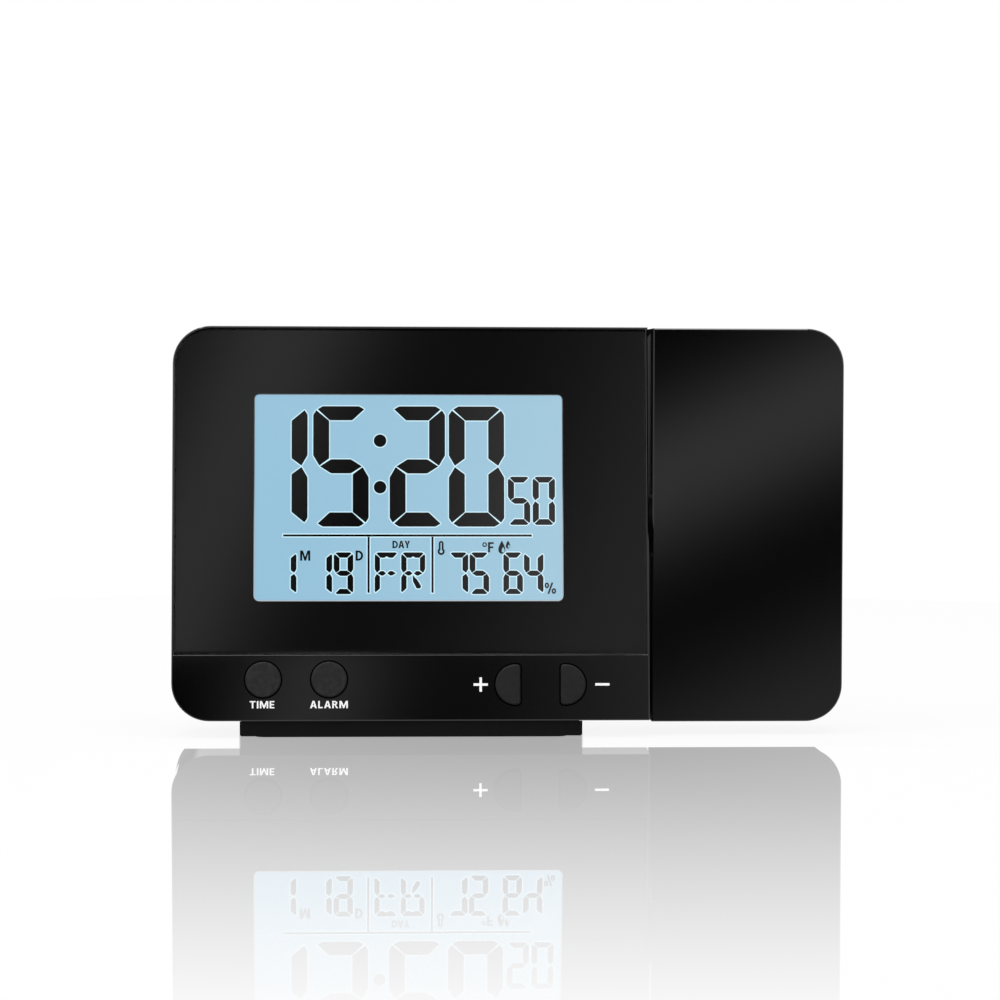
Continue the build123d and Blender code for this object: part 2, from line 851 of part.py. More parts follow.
with BuildPart() as buzzer:
    extrude(disc(spot(face, *buzzer_spot, board_rear), buzzer_radius), amount=-buzzer_height)
    buzzer_back = board_rear + buzzer_height
    chamfer(buzzer.faces().sort_by(inward)[-1].edges(), edge_break)
    buzzer_mouth = disc(spot(face, *buzzer_spot, buzzer_back), sound_hole_radius)
    extrude(buzzer_mouth, amount=buzzer_height / 2, mode=Mode.SUBTRACT)
buzzer.part.label = "buzzer"
export_step(buzzer.part, "parts/buzzer.step")

with BuildPart() as climate_sensor:
    sensor_plane = spot(face, *sensor_spot, board_rear)
    extrude(box_sketch(sensor_plane, *sensor_size[:2]), amount=-sensor_size[2])
    sensor_back = spot(face, *sensor_spot, board_rear + sensor_size[2])
    with BuildSketch(sensor_back):
        with GridLocations(sensor_size[0] / 3, sensor_size[1] / 4, 2, 3):
            Rectangle(sensor_size[0] / 5, sensor_size[1] / 8)
    extrude(amount=sensor_size[2] / 2, mode=Mode.SUBTRACT)
climate_sensor.part.label = "climate_sensor"
export_step(climate_sensor.part, "parts/climate_sensor.step")

with BuildPart() as power_inlet:
    inlet_plane = spot(face, inlet_x, inlet_up, board_rear)
    inlet_reach = case_depth - wall / 4 - board_rear
    extrude(box_sketch(inlet_plane, inlet_width, inlet_height, key_edge), amount=-inlet_reach)
    inlet_open = spot(face, inlet_x, inlet_up, board_rear + inlet_reach)
    mouth_width = inlet_width - 2 * inlet_shell
    mouth_height = inlet_height - 2 * inlet_shell
    mouth = box_sketch(inlet_open, mouth_width, mouth_height)
    extrude(mouth, amount=inlet_mouth, mode=Mode.SUBTRACT)
    tongue = box_sketch(
        spot(face, inlet_x, inlet_up, board_rear + inlet_reach - inlet_mouth),
        mouth_width / 3,
        mouth_height / 2,
    )
    extrude(tongue, amount=inlet_shell - inlet_mouth)
power_inlet.part.label = "power_inlet"
export_step(power_inlet.part, "parts/power_inlet.step")

# ------------------------------------------------------------------ keys
with BuildPart() as key_switches:
    for key_x, key_up, flat in key_places.values():
        switch_plane = spot(face, key_x + key_middle(flat), key_up, switch_front)
        extrude(box_sketch(switch_plane, switch_size, switch_size), amount=-switch_height)
        well = disc(switch_plane, plunger_radius + plunger_gap)
        extrude(well, amount=switch_front - well_floor, mode=Mode.SUBTRACT)
key_switches.part.label = "key_switches"
export_step(key_switches.part, "parts/key_switches.step")

for key_name, (key_x, key_up, flat) in key_places.items():
    key_plane = spot(face, key_x, key_up, -key_proud)
    stem_x = key_x + key_middle(flat)
    with BuildPart() as key_cap:
        extrude(key_outline(key_plane, flat), amount=-key_proud - key_back)
        chamfer(key_cap.faces().sort_by(inward)[0].edges(), key_edge)
        key_width = 2 * round_key_radius if flat == 0 else d_key_radius + d_key_flat
        ears = box_sketch(
            spot(face, stem_x, key_up, wall + fit_gap), key_width + 2 * key_ear, key_ear_height
        )
        extrude(ears, amount=-key_flange)
        stem = disc(spot(face, stem_x, key_up, key_back), plunger_radius)
        extrude(stem, amount=key_back - plunger_front)
    key_cap.part.label = key_name + "_key"
    export_step(key_cap.part, "parts/" + key_name + "_key.step")

    with BuildPart() as plunger:
        plunger_plane = spot(face, stem_x, key_up, plunger_front)
        extrude(disc(plunger_plane, plunger_radius), amount=plunger_front - plunger_back)
        chamfer(plunger.faces().sort_by(inward)[0].edges(), fit_gap)
    plunger.part.label = key_name + "_plunger"
    export_step(plunger.part, "parts/" + key_name + "_plunger.step")

with BuildPart() as snooze_bar:
    extrude(
        box_sketch(
            across_body(snooze_top, snooze_place, pivot_depth),
            snooze_length,
            snooze_width,
            snooze_corner,
        ),
        amount=snooze_low - snooze_top,
    )
    chamfer(snooze_bar.faces().sort_by(rise)[-1].edges(), edge_break)
    snooze_lip = box_sketch(
        across_body(snooze_low, snooze_place, pivot_depth),
        snooze_length + 2 * snooze_flange,
        snooze_width + 2 * snooze_flange,
        snooze_corner + snooze_flange,
    )
    extrude(snooze_lip, amount=snooze_flange)
    snooze_stem = box_sketch(
        across_body(snooze_low, snooze_place, snooze_switch_depth),
        snooze_switch_height,
        2 * snooze_plunger_radius,
    )
    extrude(snooze_stem, amount=snooze_plunger_top - snooze_low)
snooze_bar.part.label = "snooze_bar"
export_step(snooze_bar.part, "parts/snooze_bar.step")

with BuildPart() as snooze_switch:
    snooze_box = box_sketch(
        across_body(snooze_switch_top, snooze_place, snooze_switch_depth),
        switch_size,
        snooze_switch_height,
    )
    extrude(snooze_box, amount=snooze_switch_low - snooze_switch_top)
    snooze_bore = disc(
        across_body(snooze_switch_top, snooze_place, snooze_switch_depth),
        snooze_plunger_radius + plunger_gap,
    )
    extrude(snooze_bore, amount=snooze_well - snooze_switch_top, mode=Mode.SUBTRACT)
snooze_switch.part.label = "snooze_switch"
export_step(snooze_switch.part, "parts/snooze_switch.step")

with BuildPart() as snooze_plunger:
    snooze_pin = disc(
        across_body(snooze_plunger_top, snooze_place, snooze_switch_depth), snooze_plunger_radius
    )
    extrude(snooze_pin, amount=snooze_well + snooze_travel + plunger_rest - snooze_plunger_top)
snooze_plunger.part.label = "snooze_plunger"
export_step(snooze_plunger.part, "parts/snooze_plunger.step")

# ------------------------------------------------------------------ battery bay
with BuildPart() as battery_cells:
    for row, along in enumerate(cell_places):
        turn = 1 if row == 0 else -1
        cell_y, cell_z = slope_point(along, cell_depth)
        cell_start = stand_middle - turn * (bay_length / 2 - contact_thickness - spring_length)
        cell_plane = Plane(
            origin=(cell_start, cell_y, cell_z), x_dir=(0, 1, 0), z_dir=(turn, 0, 0)
        )
        extrude(disc(cell_plane, cell_radius), amount=cell_length)
        nub_plane = cell_plane.offset(cell_length)
        extrude(disc(nub_plane, cell_nub_radius), amount=cell_nub)
battery_cells.part.label = "battery_cells"
export_step(battery_cells.part, "parts/battery_cells.step")

with BuildPart() as battery_contacts:
    for along in cell_places:
        for side in (-1, 1):
            contact_y, contact_z = slope_point(along, cell_depth)
            contact_x = stand_middle + side * bay_length / 2
            contact_plane = Plane(
                origin=(contact_x, contact_y, contact_z),
                x_dir=slope.y_dir,
                z_dir=(-side, 0, 0),
            )
            plate = box_sketch(contact_plane, contact_size, contact_size)
            extrude(plate, amount=contact_thickness)
battery_contacts.part.label = "battery_contacts"
export_step(battery_contacts.part, "parts/battery_contacts.step")

with BuildPart() as battery_springs:
    for row, along in enumerate(cell_places):
        turn = 1 if row == 0 else -1
        spring_y, spring_z = slope_point(along, cell_depth)
        spring_x = stand_middle - turn * (bay_length / 2 - contact_thickness)
        spring_plane = Plane(
            origin=(spring_x, spring_y, spring_z), x_dir=(turn, 0, 0), z_dir=slope.z_dir
        )
        crown = spring_length - step_gap
        half_arch = spring_height / 2
        with BuildSketch(spring_plane):
            with BuildLine():
                ThreePointArc((0, -half_arch), (crown, 0), (0, half_arch))
                Line((0, half_arch), (0, half_arch - spring_strip))
                ThreePointArc(
                    (0, half_arch - spring_strip),
                    (crown - spring_strip, 0),
                    (0, spring_strip - half_arch),
                )
                Line((0, spring_strip - half_arch), (0, -half_arch))
            make_face()
        extrude(amount=spring_width / 2, both=True)
battery_springs.part.label = "battery_springs"
export_step(battery_springs.part, "parts/battery_springs.step")

with BuildPart() as battery_door:
    door_plane = spot(slope, 0, door_middle)
    extrude(box_sketch(door_plane, door_length, door_width), amount=-door_thickness)
    door_top_edge = battery_door.edges().filter_by(Axis.X).sort_by(Axis.Z)[-1]
    chamfer(door_top_edge, edge_break)
    # Raised grip ribs below the finger scoop
    grip_middle = door_low + door_width - door_ledge - grip_ribs * grip_pitch / 2
    with BuildSketch(spot(slope, 0, grip_middle)):
        with GridLocations(grip_pitch, grip_pitch, 1, grip_ribs):
            Rectangle(grip_length, grip_width)
    extrude(amount=grip_proud)
    for side in (-1, 1):
        tab_low = door_low - door_tab_reach
        tab = slab(
            slope.offset(door_tab_thickness - door_thickness),
            side * door_tab_spacing / 2 - door_tab_width / 2,
            side * door_tab_spacing / 2 + door_tab_width / 2,
            tab_low,
            door_low + door_ledge,
        )
        extrude(tab, amount=-door_tab_thickness)
battery_door.part.label = "battery_door"
export_step(battery_door.part, "parts/battery_door.step")

# ------------------------------------------------------------------ fasteners
def add_screws(base, front_of_head, centres, head, head_thick, shank, shank_long):
    """Pan-head screws driven from the rear, heads ending towards the rear."""
    heads = discs(base.offset(-front_of_head), centres, head)
    extrude(heads, amount=-head_thick)
    extrude(discs(base.offset(-front_of_head), centres, shank), amount=shank_long)
    crosses = drive_crosses(base.offset(-front_of_head - head_thick), centres)
    extrude(crosses, amount=head_thick / 2, mode=Mode.SUBTRACT)


with BuildPart() as housing_screws:
    add_screws(
        face,
        seat_depth,
        body_bosses,
        head_radius,
        head_height,
        shank_radius,
        shank_length - screw_seat,
    )
housing_screws.part.label = "housing_screws"
export_step(housing_screws.part, "parts/housing_screws.step")

with BuildPart() as board_screws:
    add_screws(
        face,
        board_rear,
        board_bosses,
        board_head_radius,
        board_head_height,
        board_shank_radius,
        board_shank_length,
    )
board_screws.part.label = "board_screws"
export_step(board_screws.part, "parts/board_screws.step")

with BuildPart() as arm_screws:
    add_screws(
        arm_face,
        seat_depth,
        arm_bosses,
        head_radius,
        head_height,
        shank_radius,
        shank_length - screw_seat,
    )
arm_screws.part.label = "arm_screws"
export_step(arm_screws.part, "parts/arm_screws.step")

# ------------------------------------------------------------------ hub
with BuildPart() as pivot_hub:
    extrude(disc(hub_plane(hub_outer_flange - flange_thickness), flange_radius), amount=flange_thickness)
    extrude(disc(hub_plane(hub_outer_flange), neck_radius), amount=spacer_left - hub_outer_flange)
    extrude(disc(hub_plane(spacer_left), spacer_radius), amount=spacer_right - spacer_left)
    extrude(
        box_sketch(hub_plane(spacer_right), square_neck, square_neck),
        amount=inner_flange - spacer_right,
    )
    extrude(disc(hub_plane(inner_flange), flange_radius), amount=flange_thickness)
    wire_bore = disc(hub_plane(hub_outer_flange - flange_thickness), lead_radius + lead_gap)
    extrude(wire_bore, amount=body_width, mode=Mode.SUBTRACT)
pivot_hub.part.label = "pivot_hub"
export_step(pivot_hub.part, "parts/pivot_hub.step")

with BuildPart() as friction_washer:
    washer = disc(hub_plane(hub_outer_flange + neck_gap), washer_outer, neck_radius + fit_gap)
    extrude(washer, amount=washer_thickness)
friction_washer.part.label = "friction_washer"
export_step(friction_washer.part, "parts/friction_washer.step")

# ------------------------------------------------------------------ arm shells
square_slot = square_neck / 2 + neck_gap
with BuildPart() as arm_front_shell:
    extrude(arm_outline(0), amount=-arm_parting)
    chamfer(arm_front_shell.faces().sort_by(arm_inward)[0].edges(), edge_break)
    extrude(arm_outline(wall, wall), amount=wall - arm_parting, mode=Mode.SUBTRACT)
    extrude(arm_outline(arm_parting, wall / 2 + step_gap), amount=-lip_height)
    extrude(arm_outline(arm_parting, wall), amount=-lip_height, mode=Mode.SUBTRACT)
    extrude(discs(arm_face.offset(-wall), arm_bosses, boss_radius), amount=wall - boss_end)
    arm_holes = discs(arm_face.offset(-boss_end), arm_bosses, shank_radius + thread_gap)
    extrude(arm_holes, amount=shank_length, mode=Mode.SUBTRACT)
    # Ribs that press the projector tube into its cradles
    for side in (-1, 1):
        rib_x = lens_centre + side * rib_spacing / 2
        rib = slab(
            arm_face.offset(-wall), rib_x - rib_thickness / 2, rib_x + rib_thickness / 2, rib_low, rib_high
        )
        rib_end = lens_depth - (tube_outer**2 - (rib_spacing / 2 - rib_thickness / 2) ** 2) ** 0.5
        extrude(rib, amount=wall + fit_gap - rib_end)
    # Tongue that closes the hub's slot
    hub_tongue = slab(
        arm_face.offset(-arm_parting), arm_left, arm_left + wall, -square_neck / 2, square_neck / 2
    )
    extrude(hub_tongue, amount=arm_parting - pivot_depth + square_slot)
arm_front_shell.part.label = "arm_front_shell"
export_step(arm_front_shell.part, "parts/arm_front_shell.step")

with BuildPart() as arm_rear_shell:
    extrude(arm_outline(arm_parting), amount=arm_parting - case_depth)
    fillet(arm_rear_shell.faces().sort_by(arm_inward)[-1].edges(), arm_rear_round)
    arm_hollow = arm_outline(arm_parting, wall)
    extrude(arm_hollow, amount=arm_parting + wall - case_depth, mode=Mode.SUBTRACT)
    arm_floor = arm_rear_shell.faces().filter_by(arm_inward).sort_by(arm_inward)[-2]
    chamfer(arm_floor.edges(), arm_inner_edge)
    arm_groove = arm_outline(arm_parting, wall / 2)
    extrude(arm_groove, amount=-lip_height - fit_gap, mode=Mode.SUBTRACT)
    # Shelves that cradle the projector tube, its board and the focus wheel, open to the front
    cradles = [
        (led_board_up - shelf_thickness, lead_radius + lead_gap, pivot_depth),
        (tube_low + 2 * shelf_thickness, tube_outer + step_gap, lens_depth),
        (tube_top - tube_flange_thickness - shelf_thickness - fit_gap, tube_outer + step_gap, lens_depth),
        (shelf_up, barrel_radius + fit_gap, lens_depth),
    ]
    for cradle_up, notch_size, notch_depth in cradles:
        shelf = slab(
            across_arm(cradle_up),
            lens_centre - shelf_half_width,
            lens_centre + shelf_half_width,
            arm_parting + fit_gap,
            case_depth - wall / 2,
        )
        extrude(shelf, amount=shelf_thickness)
        notch = open_notch(across_arm(cradle_up), notch_size, notch_depth)
        extrude(notch, amount=shelf_thickness, mode=Mode.SUBTRACT)
    # Screw tubes, open to the rear
    extrude(
        discs(arm_face.offset(screw_seat - seat_depth), arm_bosses, tube_radius),
        amount=seat_depth - screw_seat - case_depth + arm_rear_round / 4,
    )
    arm_head_holes = discs(arm_face.offset(-case_depth), arm_bosses, head_radius + head_gap)
    extrude(arm_head_holes, amount=head_sink, mode=Mode.SUBTRACT)
    arm_shank_holes = discs(arm_face.offset(-seat_depth), arm_bosses, shank_radius + shank_gap)
    extrude(arm_shank_holes, amount=screw_seat, mode=Mode.SUBTRACT)
    # Hub slot, lens opening and focus wheel slot
    hub_slot = slab(
        arm_face.offset(-arm_parting), arm_left, arm_left + wall, -square_slot, square_slot
    )
    extrude(hub_slot, amount=arm_parting - pivot_depth - square_slot, mode=Mode.SUBTRACT)
    lens_hole = disc(lens_plane(arm_high), bezel_neck_radius + fit_gap)
    extrude(lens_hole, amount=-wall, mode=Mode.SUBTRACT)
    bezel_seat = disc(lens_plane(arm_high), bezel_radius + fit_gap)
    extrude(bezel_seat, amount=-bezel_flange - fit_gap, mode=Mode.SUBTRACT)
    wheel_overhang = case_depth - wall - lens_depth
    wheel_chord = (wheel_radius**2 - wheel_overhang**2) ** 0.5
    wheel_slot = box_sketch(
        spot(arm_face, lens_centre, wheel_low + wheel_thickness / 2, case_depth),
        2 * (wheel_chord + wheel_gap),
        wheel_thickness + 2 * wheel_gap,
    )
    extrude(wheel_slot, amount=wall, mode=Mode.SUBTRACT)
arm_rear_shell.part.label = "arm_rear_shell"
export_step(arm_rear_shell.part, "parts/arm_rear_shell.step")

# ------------------------------------------------------------------ projector
with BuildPart() as led_board:
    board_square = box_sketch(lens_plane(led_board_up), led_board_size, led_board_size)
    extrude(board_square, amount=led_board_thickness)
led_board.part.label = "led_board"
export_step(led_board.part, "parts/led_board.step")

with BuildPart() as projector_led:
    extrude(disc(lens_plane(tube_low), led_rim), amount=led_rim_height)
    extrude(disc(lens_plane(tube_low), led_radius), amount=led_height - led_radius)
    with Locations(lens_plane(tube_low + led_height - led_radius)):
        Sphere(led_radius, arc_size1=0)
projector_led.part.label = "projector_led"
export_step(projector_led.part, "parts/projector_led.step")

with BuildPart() as projector_tube:
    extrude(disc(lens_plane(tube_low), tube_outer), amount=tube_top - tube_low)
    flange_up = tube_top - tube_flange_thickness
    extrude(disc(lens_plane(flange_up), tube_flange), amount=tube_flange_thickness)
    shoulder_up = condenser_up + condenser_thickness
    film_up = shoulder_up + shoulder_thickness
    lower_bore = disc(lens_plane(tube_low), tube_bore)
    extrude(lower_bore, amount=shoulder_up - tube_low, mode=Mode.SUBTRACT)
    extrude(disc(lens_plane(film_up), tube_bore), amount=tube_top - film_up, mode=Mode.SUBTRACT)
    shoulder_hole = disc(lens_plane(shoulder_up), shoulder_bore)
    extrude(shoulder_hole, amount=shoulder_thickness, mode=Mode.SUBTRACT)
projector_tube.part.label = "projector_tube"
export_step(projector_tube.part, "parts/projector_tube.step")


def curve_radius(radius, bulge):
    """Radius of a sphere that bulges by a given height across a lens."""
    return (radius**2 + bulge**2) / (2 * bulge)


with BuildPart() as condenser_lens:
    extrude(disc(lens_plane(condenser_up), barrel_radius), amount=condenser_thickness)
    condenser_curve = curve_radius(barrel_radius, condenser_thickness - condenser_edge)
    with Locations(lens_plane(condenser_up + condenser_curve)):
        Sphere(condenser_curve, mode=Mode.INTERSECT)
condenser_lens.part.label = "condenser_lens"
export_step(condenser_lens.part, "parts/condenser_lens.step")

with BuildPart() as projection_film:
    extrude(disc(lens_plane(film_up), barrel_radius), amount=film_thickness)
projection_film.part.label = "projection_film"
export_step(projection_film.part, "parts/projection_film.step")

with BuildPart() as lens_barrel:
    barrel_low = film_up + film_thickness + focus_travel + barrel_clearance
    extrude(disc(lens_plane(barrel_low), barrel_radius, barrel_bore), amount=barrel_length)
    barrel_high = barrel_low + barrel_length
    objective_up = barrel_high - objective_thickness
    objective_seat = disc(lens_plane(barrel_high), objective_radius + step_gap)
    extrude(objective_seat, amount=-objective_thickness, mode=Mode.SUBTRACT)
lens_barrel.part.label = "lens_barrel"
export_step(lens_barrel.part, "parts/lens_barrel.step")

with BuildPart() as objective_lens:
    extrude(disc(lens_plane(objective_up), objective_radius), amount=objective_thickness)
    objective_curve = curve_radius(objective_radius, (objective_thickness - objective_edge) / 2)
    with Locations(lens_plane(objective_up + objective_curve)):
        Sphere(objective_curve, mode=Mode.INTERSECT)
    with Locations(lens_plane(objective_up + objective_thickness - objective_curve)):
        Sphere(objective_curve, mode=Mode.INTERSECT)
objective_lens.part.label = "objective_lens"
export_step(objective_lens.part, "parts/objective_lens.step")

with BuildPart() as focus_wheel:
    extrude(disc(lens_plane(wheel_low), wheel_radius, tube_bore), amount=wheel_thickness)
    chamfer(focus_wheel.edges().filter_by(GeomType.CIRCLE).group_by(SortBy.RADIUS)[-1], edge_break)
    with BuildSketch(lens_plane(wheel_low)):
        with PolarLocations(wheel_radius, wheel_notches):
            Rectangle(2 * wheel_notch_depth, wheel_notch_width)
    extrude(amount=wheel_thickness, mode=Mode.SUBTRACT)
focus_wheel.part.label = "focus_wheel"
export_step(focus_wheel.part, "parts/focus_wheel.step")

with BuildPart() as lens_bezel:
    bezel_top = arm_high - fit_gap
    bezel_flange_plane = lens_plane(bezel_top)
    extrude(disc(bezel_flange_plane, bezel_radius, bezel_bore), amount=-bezel_flange)
    bezel_neck_ring = disc(bezel_flange_plane, bezel_neck_radius, bezel_bore)
    extrude(bezel_neck_ring, amount=-bezel_neck)
lens_bezel.part.label = "lens_bezel"
export_step(lens_bezel.part, "parts/lens_bezel.step")

with BuildPart() as projector_lead:
    lead_start = board_right + 3 * fit_gap
    lead_points = [
        (lead_start, pivot_y, axis_height),
        (lens_centre, pivot_y, axis_height),
        (lens_centre, pivot_y, axis_height + led_board_up),
    ]
    with BuildLine() as lead_path:
        FilletPolyline(*lead_points, radius=lead_bend)
    with BuildSketch(hub_plane(lead_start)) as lead_section:
        Circle(lead_radius)
    sweep(lead_section.sketch, path=lead_path.line)
projector_lead.part.label = "projector_lead"
export_step(projector_lead.part, "parts/projector_lead.step")
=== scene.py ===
import json
import math

import bpy
from mathutils import Matrix, Vector

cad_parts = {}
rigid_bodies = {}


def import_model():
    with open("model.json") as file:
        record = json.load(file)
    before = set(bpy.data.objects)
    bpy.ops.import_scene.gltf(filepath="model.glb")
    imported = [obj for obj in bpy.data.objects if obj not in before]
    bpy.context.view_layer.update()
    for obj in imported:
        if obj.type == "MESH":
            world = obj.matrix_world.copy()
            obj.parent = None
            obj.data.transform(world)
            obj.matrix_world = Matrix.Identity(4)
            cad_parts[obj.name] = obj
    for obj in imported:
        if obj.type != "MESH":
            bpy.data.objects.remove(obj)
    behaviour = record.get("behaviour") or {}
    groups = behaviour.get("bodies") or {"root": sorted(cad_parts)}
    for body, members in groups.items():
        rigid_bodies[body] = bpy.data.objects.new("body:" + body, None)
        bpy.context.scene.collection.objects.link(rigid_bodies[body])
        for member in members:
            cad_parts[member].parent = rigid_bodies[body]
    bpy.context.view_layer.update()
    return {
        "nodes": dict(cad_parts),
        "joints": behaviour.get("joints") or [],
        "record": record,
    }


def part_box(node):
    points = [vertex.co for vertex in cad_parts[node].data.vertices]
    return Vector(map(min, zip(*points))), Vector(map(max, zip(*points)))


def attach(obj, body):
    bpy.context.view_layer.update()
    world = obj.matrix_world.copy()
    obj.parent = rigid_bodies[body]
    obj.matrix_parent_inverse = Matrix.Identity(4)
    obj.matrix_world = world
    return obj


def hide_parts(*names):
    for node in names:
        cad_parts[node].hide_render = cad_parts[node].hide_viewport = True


for leftover in list(bpy.data.objects):
    bpy.data.objects.remove(leftover)

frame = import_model()

MM = 0.001
JOINTS = {joint["name"]: joint for joint in frame["joints"]}
PIVOT = Vector(JOINTS["arm_pivot"]["pos_m"])
INWARD = Vector(JOINTS["time_press"]["axis"]).normalized()
RISE = Vector((0.0, -INWARD.z, INWARD.y))

# ------------------------------------------------------------------ places on the leaning face


def face_extent(node):
    """Lowest and highest x, up and depth of a node, from the hub along the leaning face."""
    rows = [
        (v.co.x, (v.co - PIVOT).dot(RISE), (v.co - PIVOT).dot(INWARD))
        for v in frame["nodes"][node].data.vertices
    ]
    return [min(column) for column in zip(*rows)], [max(column) for column in zip(*rows)]


def on_face(x, up, depth):
    """Point in the scene for a place on the leaning face."""
    return Vector((x, PIVOT.y, PIVOT.z)) + RISE * up + INWARD * depth


def face_plane(depth):
    """Matrix whose X runs right, Y up the face and Z out of it, at a depth below the face."""
    turn = Matrix((Vector((1, 0, 0)), RISE, -INWARD)).transposed().to_4x4()
    return Matrix.Translation(on_face(0, 0, depth)) @ turn


def in_scene(name, data):
    """New object of the scene with that data."""
    thing = bpy.data.objects.new(name, data)
    bpy.context.scene.collection.objects.link(thing)
    return thing


# ------------------------------------------------------------------ node helpers


def calc(tree, operation, *values):
    """Output of a math node; each value is a number or another node's output."""
    node = tree.nodes.new("ShaderNodeMath")
    node.operation = operation
    for i, value in enumerate(values):
        if isinstance(value, (int, float)):
            node.inputs[i].default_value = value
        else:
            tree.links.new(value, node.inputs[i])
    return node.outputs["Value"]


def soft_step(tree, value, edge, soft):
    """0 below the edge and 1 above it, with a smooth change between."""
    node = tree.nodes.new("ShaderNodeMapRange")
    node.interpolation_type = "SMOOTHSTEP"
    node.inputs["From Min"].default_value = edge - soft
    node.inputs["From Max"].default_value = edge + soft
    tree.links.new(value, node.inputs["Value"])
    return node.outputs["Result"]


def blend(tree, low, high, share):
    """From low to high as the share goes from 0 to 1."""
    rest = calc(tree, "MULTIPLY", low, calc(tree, "SUBTRACT", 1.0, share))
    return calc(tree, "ADD", rest, calc(tree, "MULTIPLY", high, share))


class Shader:
    """A material with one Principled shader and short ways to add nodes to it."""

    def __init__(self, name, color, roughness, **sockets):
        self.material = bpy.data.materials.new(name)
        self.material.use_nodes = True
        self.tree = self.material.node_tree
        self.nodes = self.tree.nodes
        self.bsdf = self.nodes["Principled BSDF"]
        self.bsdf.inputs["Base Color"].default_value = (*color, 1.0)
        self.bsdf.inputs["Roughness"].default_value = roughness
        for socket, value in sockets.items():
            self.bsdf.inputs[socket.replace("_", " ")].default_value = value
        self.place = self.nodes.new("ShaderNodeTexCoord").outputs["Object"]

    def link(self, output, node_input):
        self.tree.links.new(output, node_input)

    def noise(self, scale, detail=3.0):
        """Noise in the object's own space; the scale is in cells per metre."""
        node = self.nodes.new("ShaderNodeTexNoise")
        node.inputs["Scale"].default_value = scale
        node.inputs["Detail"].default_value = detail
        self.link(self.place, node.inputs["Vector"])
        return node.outputs["Fac"]

    def ramp(self, value, *stops):
        """Colours between stops, which are (position, colour) pairs."""
        node = self.nodes.new("ShaderNodeValToRGB")
        elements = node.color_ramp.elements
        while len(elements) < len(stops):
            elements.new(0.5)
        for element, (position, color) in zip(elements, stops):
            element.position = position
            element.color = (*color, 1.0)
        self.link(value, node.inputs["Fac"])
        return node.outputs["Color"]

    def spread(self, value, low, high):
        """A value from 0 to 1 stretched to run from low to high."""
        node = self.nodes.new("ShaderNodeMapRange")
        node.inputs["To Min"].default_value = low
        node.inputs["To Max"].default_value = high
        self.link(value, node.inputs["Value"])
        return node.outputs["Result"]

    def axis(self, letter, low, high):
        """The object's own X, Y or Z, from 0 at low to 1 at high, in metres."""
        split = self.nodes.new("ShaderNodeSeparateXYZ")
        self.link(self.place, split.inputs["Vector"])
        node = self.nodes.new("ShaderNodeMapRange")
        node.inputs["From Min"].default_value = low
        node.inputs["From Max"].default_value = high
        self.link(split.outputs[letter], node.inputs["Value"])
        return node.outputs["Result"]

    def bump(self, height, strength, distance):
        """Bump whose height is the output; the distance is in metres."""
        node = self.nodes.new("ShaderNodeBump")
        node.inputs["Strength"].default_value = strength
        node.inputs["Distance"].default_value = distance
        self.link(height, node.inputs["Height"])
        self.link(node.outputs["Normal"], self.bsdf.inputs["Normal"])

    def color_from(self, output):
        self.link(output, self.bsdf.inputs["Base Color"])

    def rough_from(self, output):
        self.link(output, self.bsdf.inputs["Roughness"])

    def glow_from(self, output, strength):
        self.link(output, self.bsdf.inputs["Emission Color"])
        self.bsdf.inputs["Emission Strength"].default_value = strength


# ------------------------------------------------------------------ materials


def gloss_black(name):
    """Piano black moulding: clear gloss with the faintest orange peel."""
    look = Shader(
        name, (0.0005, 0.0005, 0.0006), 0.05, IOR=1.5, Coat_Weight=1.0, Coat_Roughness=0.03
    )
    look.rough_from(look.spread(look.noise(90.0), 0.035, 0.07))
    look.bump(look.noise(260.0, 1.0), 0.02, 0.00002)
    return look.material


SPARK_GRAIN = 2600.0


def matte_black(name, shade):
    """Spark-textured ABS: fine grain, slightly shiny tops."""
    look = Shader(name, shade, 0.5, IOR=1.5, Specular_IOR_Level=0.2)
    grains = look.noise(SPARK_GRAIN, 2.0)
    dark = tuple(channel * 0.8 for channel in shade)
    light = tuple(channel * 1.25 for channel in shade)
    look.color_from(look.ramp(grains, (0.35, dark), (0.7, light)))
    look.rough_from(look.spread(look.noise(SPARK_GRAIN / 3), 0.42, 0.6))
    look.bump(grains, 0.35, 0.00005)
    return look.material


def rubber(name, shade):
    """Silicone rubber: soft, slightly mottled and dusty."""
    look = Shader(name, shade, 0.7, IOR=1.42)
    blotches = look.noise(900.0, 4.0)
    dark = tuple(channel * 0.62 for channel in shade)
    light = tuple(channel * 1.45 for channel in shade)
    look.color_from(look.ramp(blotches, (0.38, dark), (0.66, light)))
    look.rough_from(look.spread(blotches, 0.6, 0.82))
    look.bump(look.noise(3200.0, 3.0), 0.35, 0.00004)
    return look.material


def satin_plastic(name, shade, roughness=0.4):
    """Plain moulded plastic with a little unevenness."""
    look = Shader(name, shade, roughness, IOR=1.5)
    dark = tuple(channel * 0.88 for channel in shade)
    look.color_from(look.ramp(look.noise(400.0), (0.3, dark), (0.7, shade)))
    look.bump(look.noise(1500.0), 0.12, 0.00003)
    return look.material


def clear_panel():
    """Polished acrylic sheet."""
    look = Shader("clear_panel_acrylic", (1.0, 1.0, 1.0), 0.0, IOR=1.49, Transmission_Weight=1.0)
    look.rough_from(look.spread(look.noise(120.0), 0.0, 0.012))
    return look.material


def mask_print():
    """Black print behind the panel."""
    look = Shader("mask_print_black", (0.0012, 0.0012, 0.0014), 0.9, Specular_IOR_Level=0.0)
    dark, light = (0.001, 0.001, 0.0011), (0.0016, 0.0016, 0.0018)
    look.color_from(look.ramp(look.noise(700.0), (0.3, dark), (0.7, light)))
    return look.material


LCD_FOG = 0.12


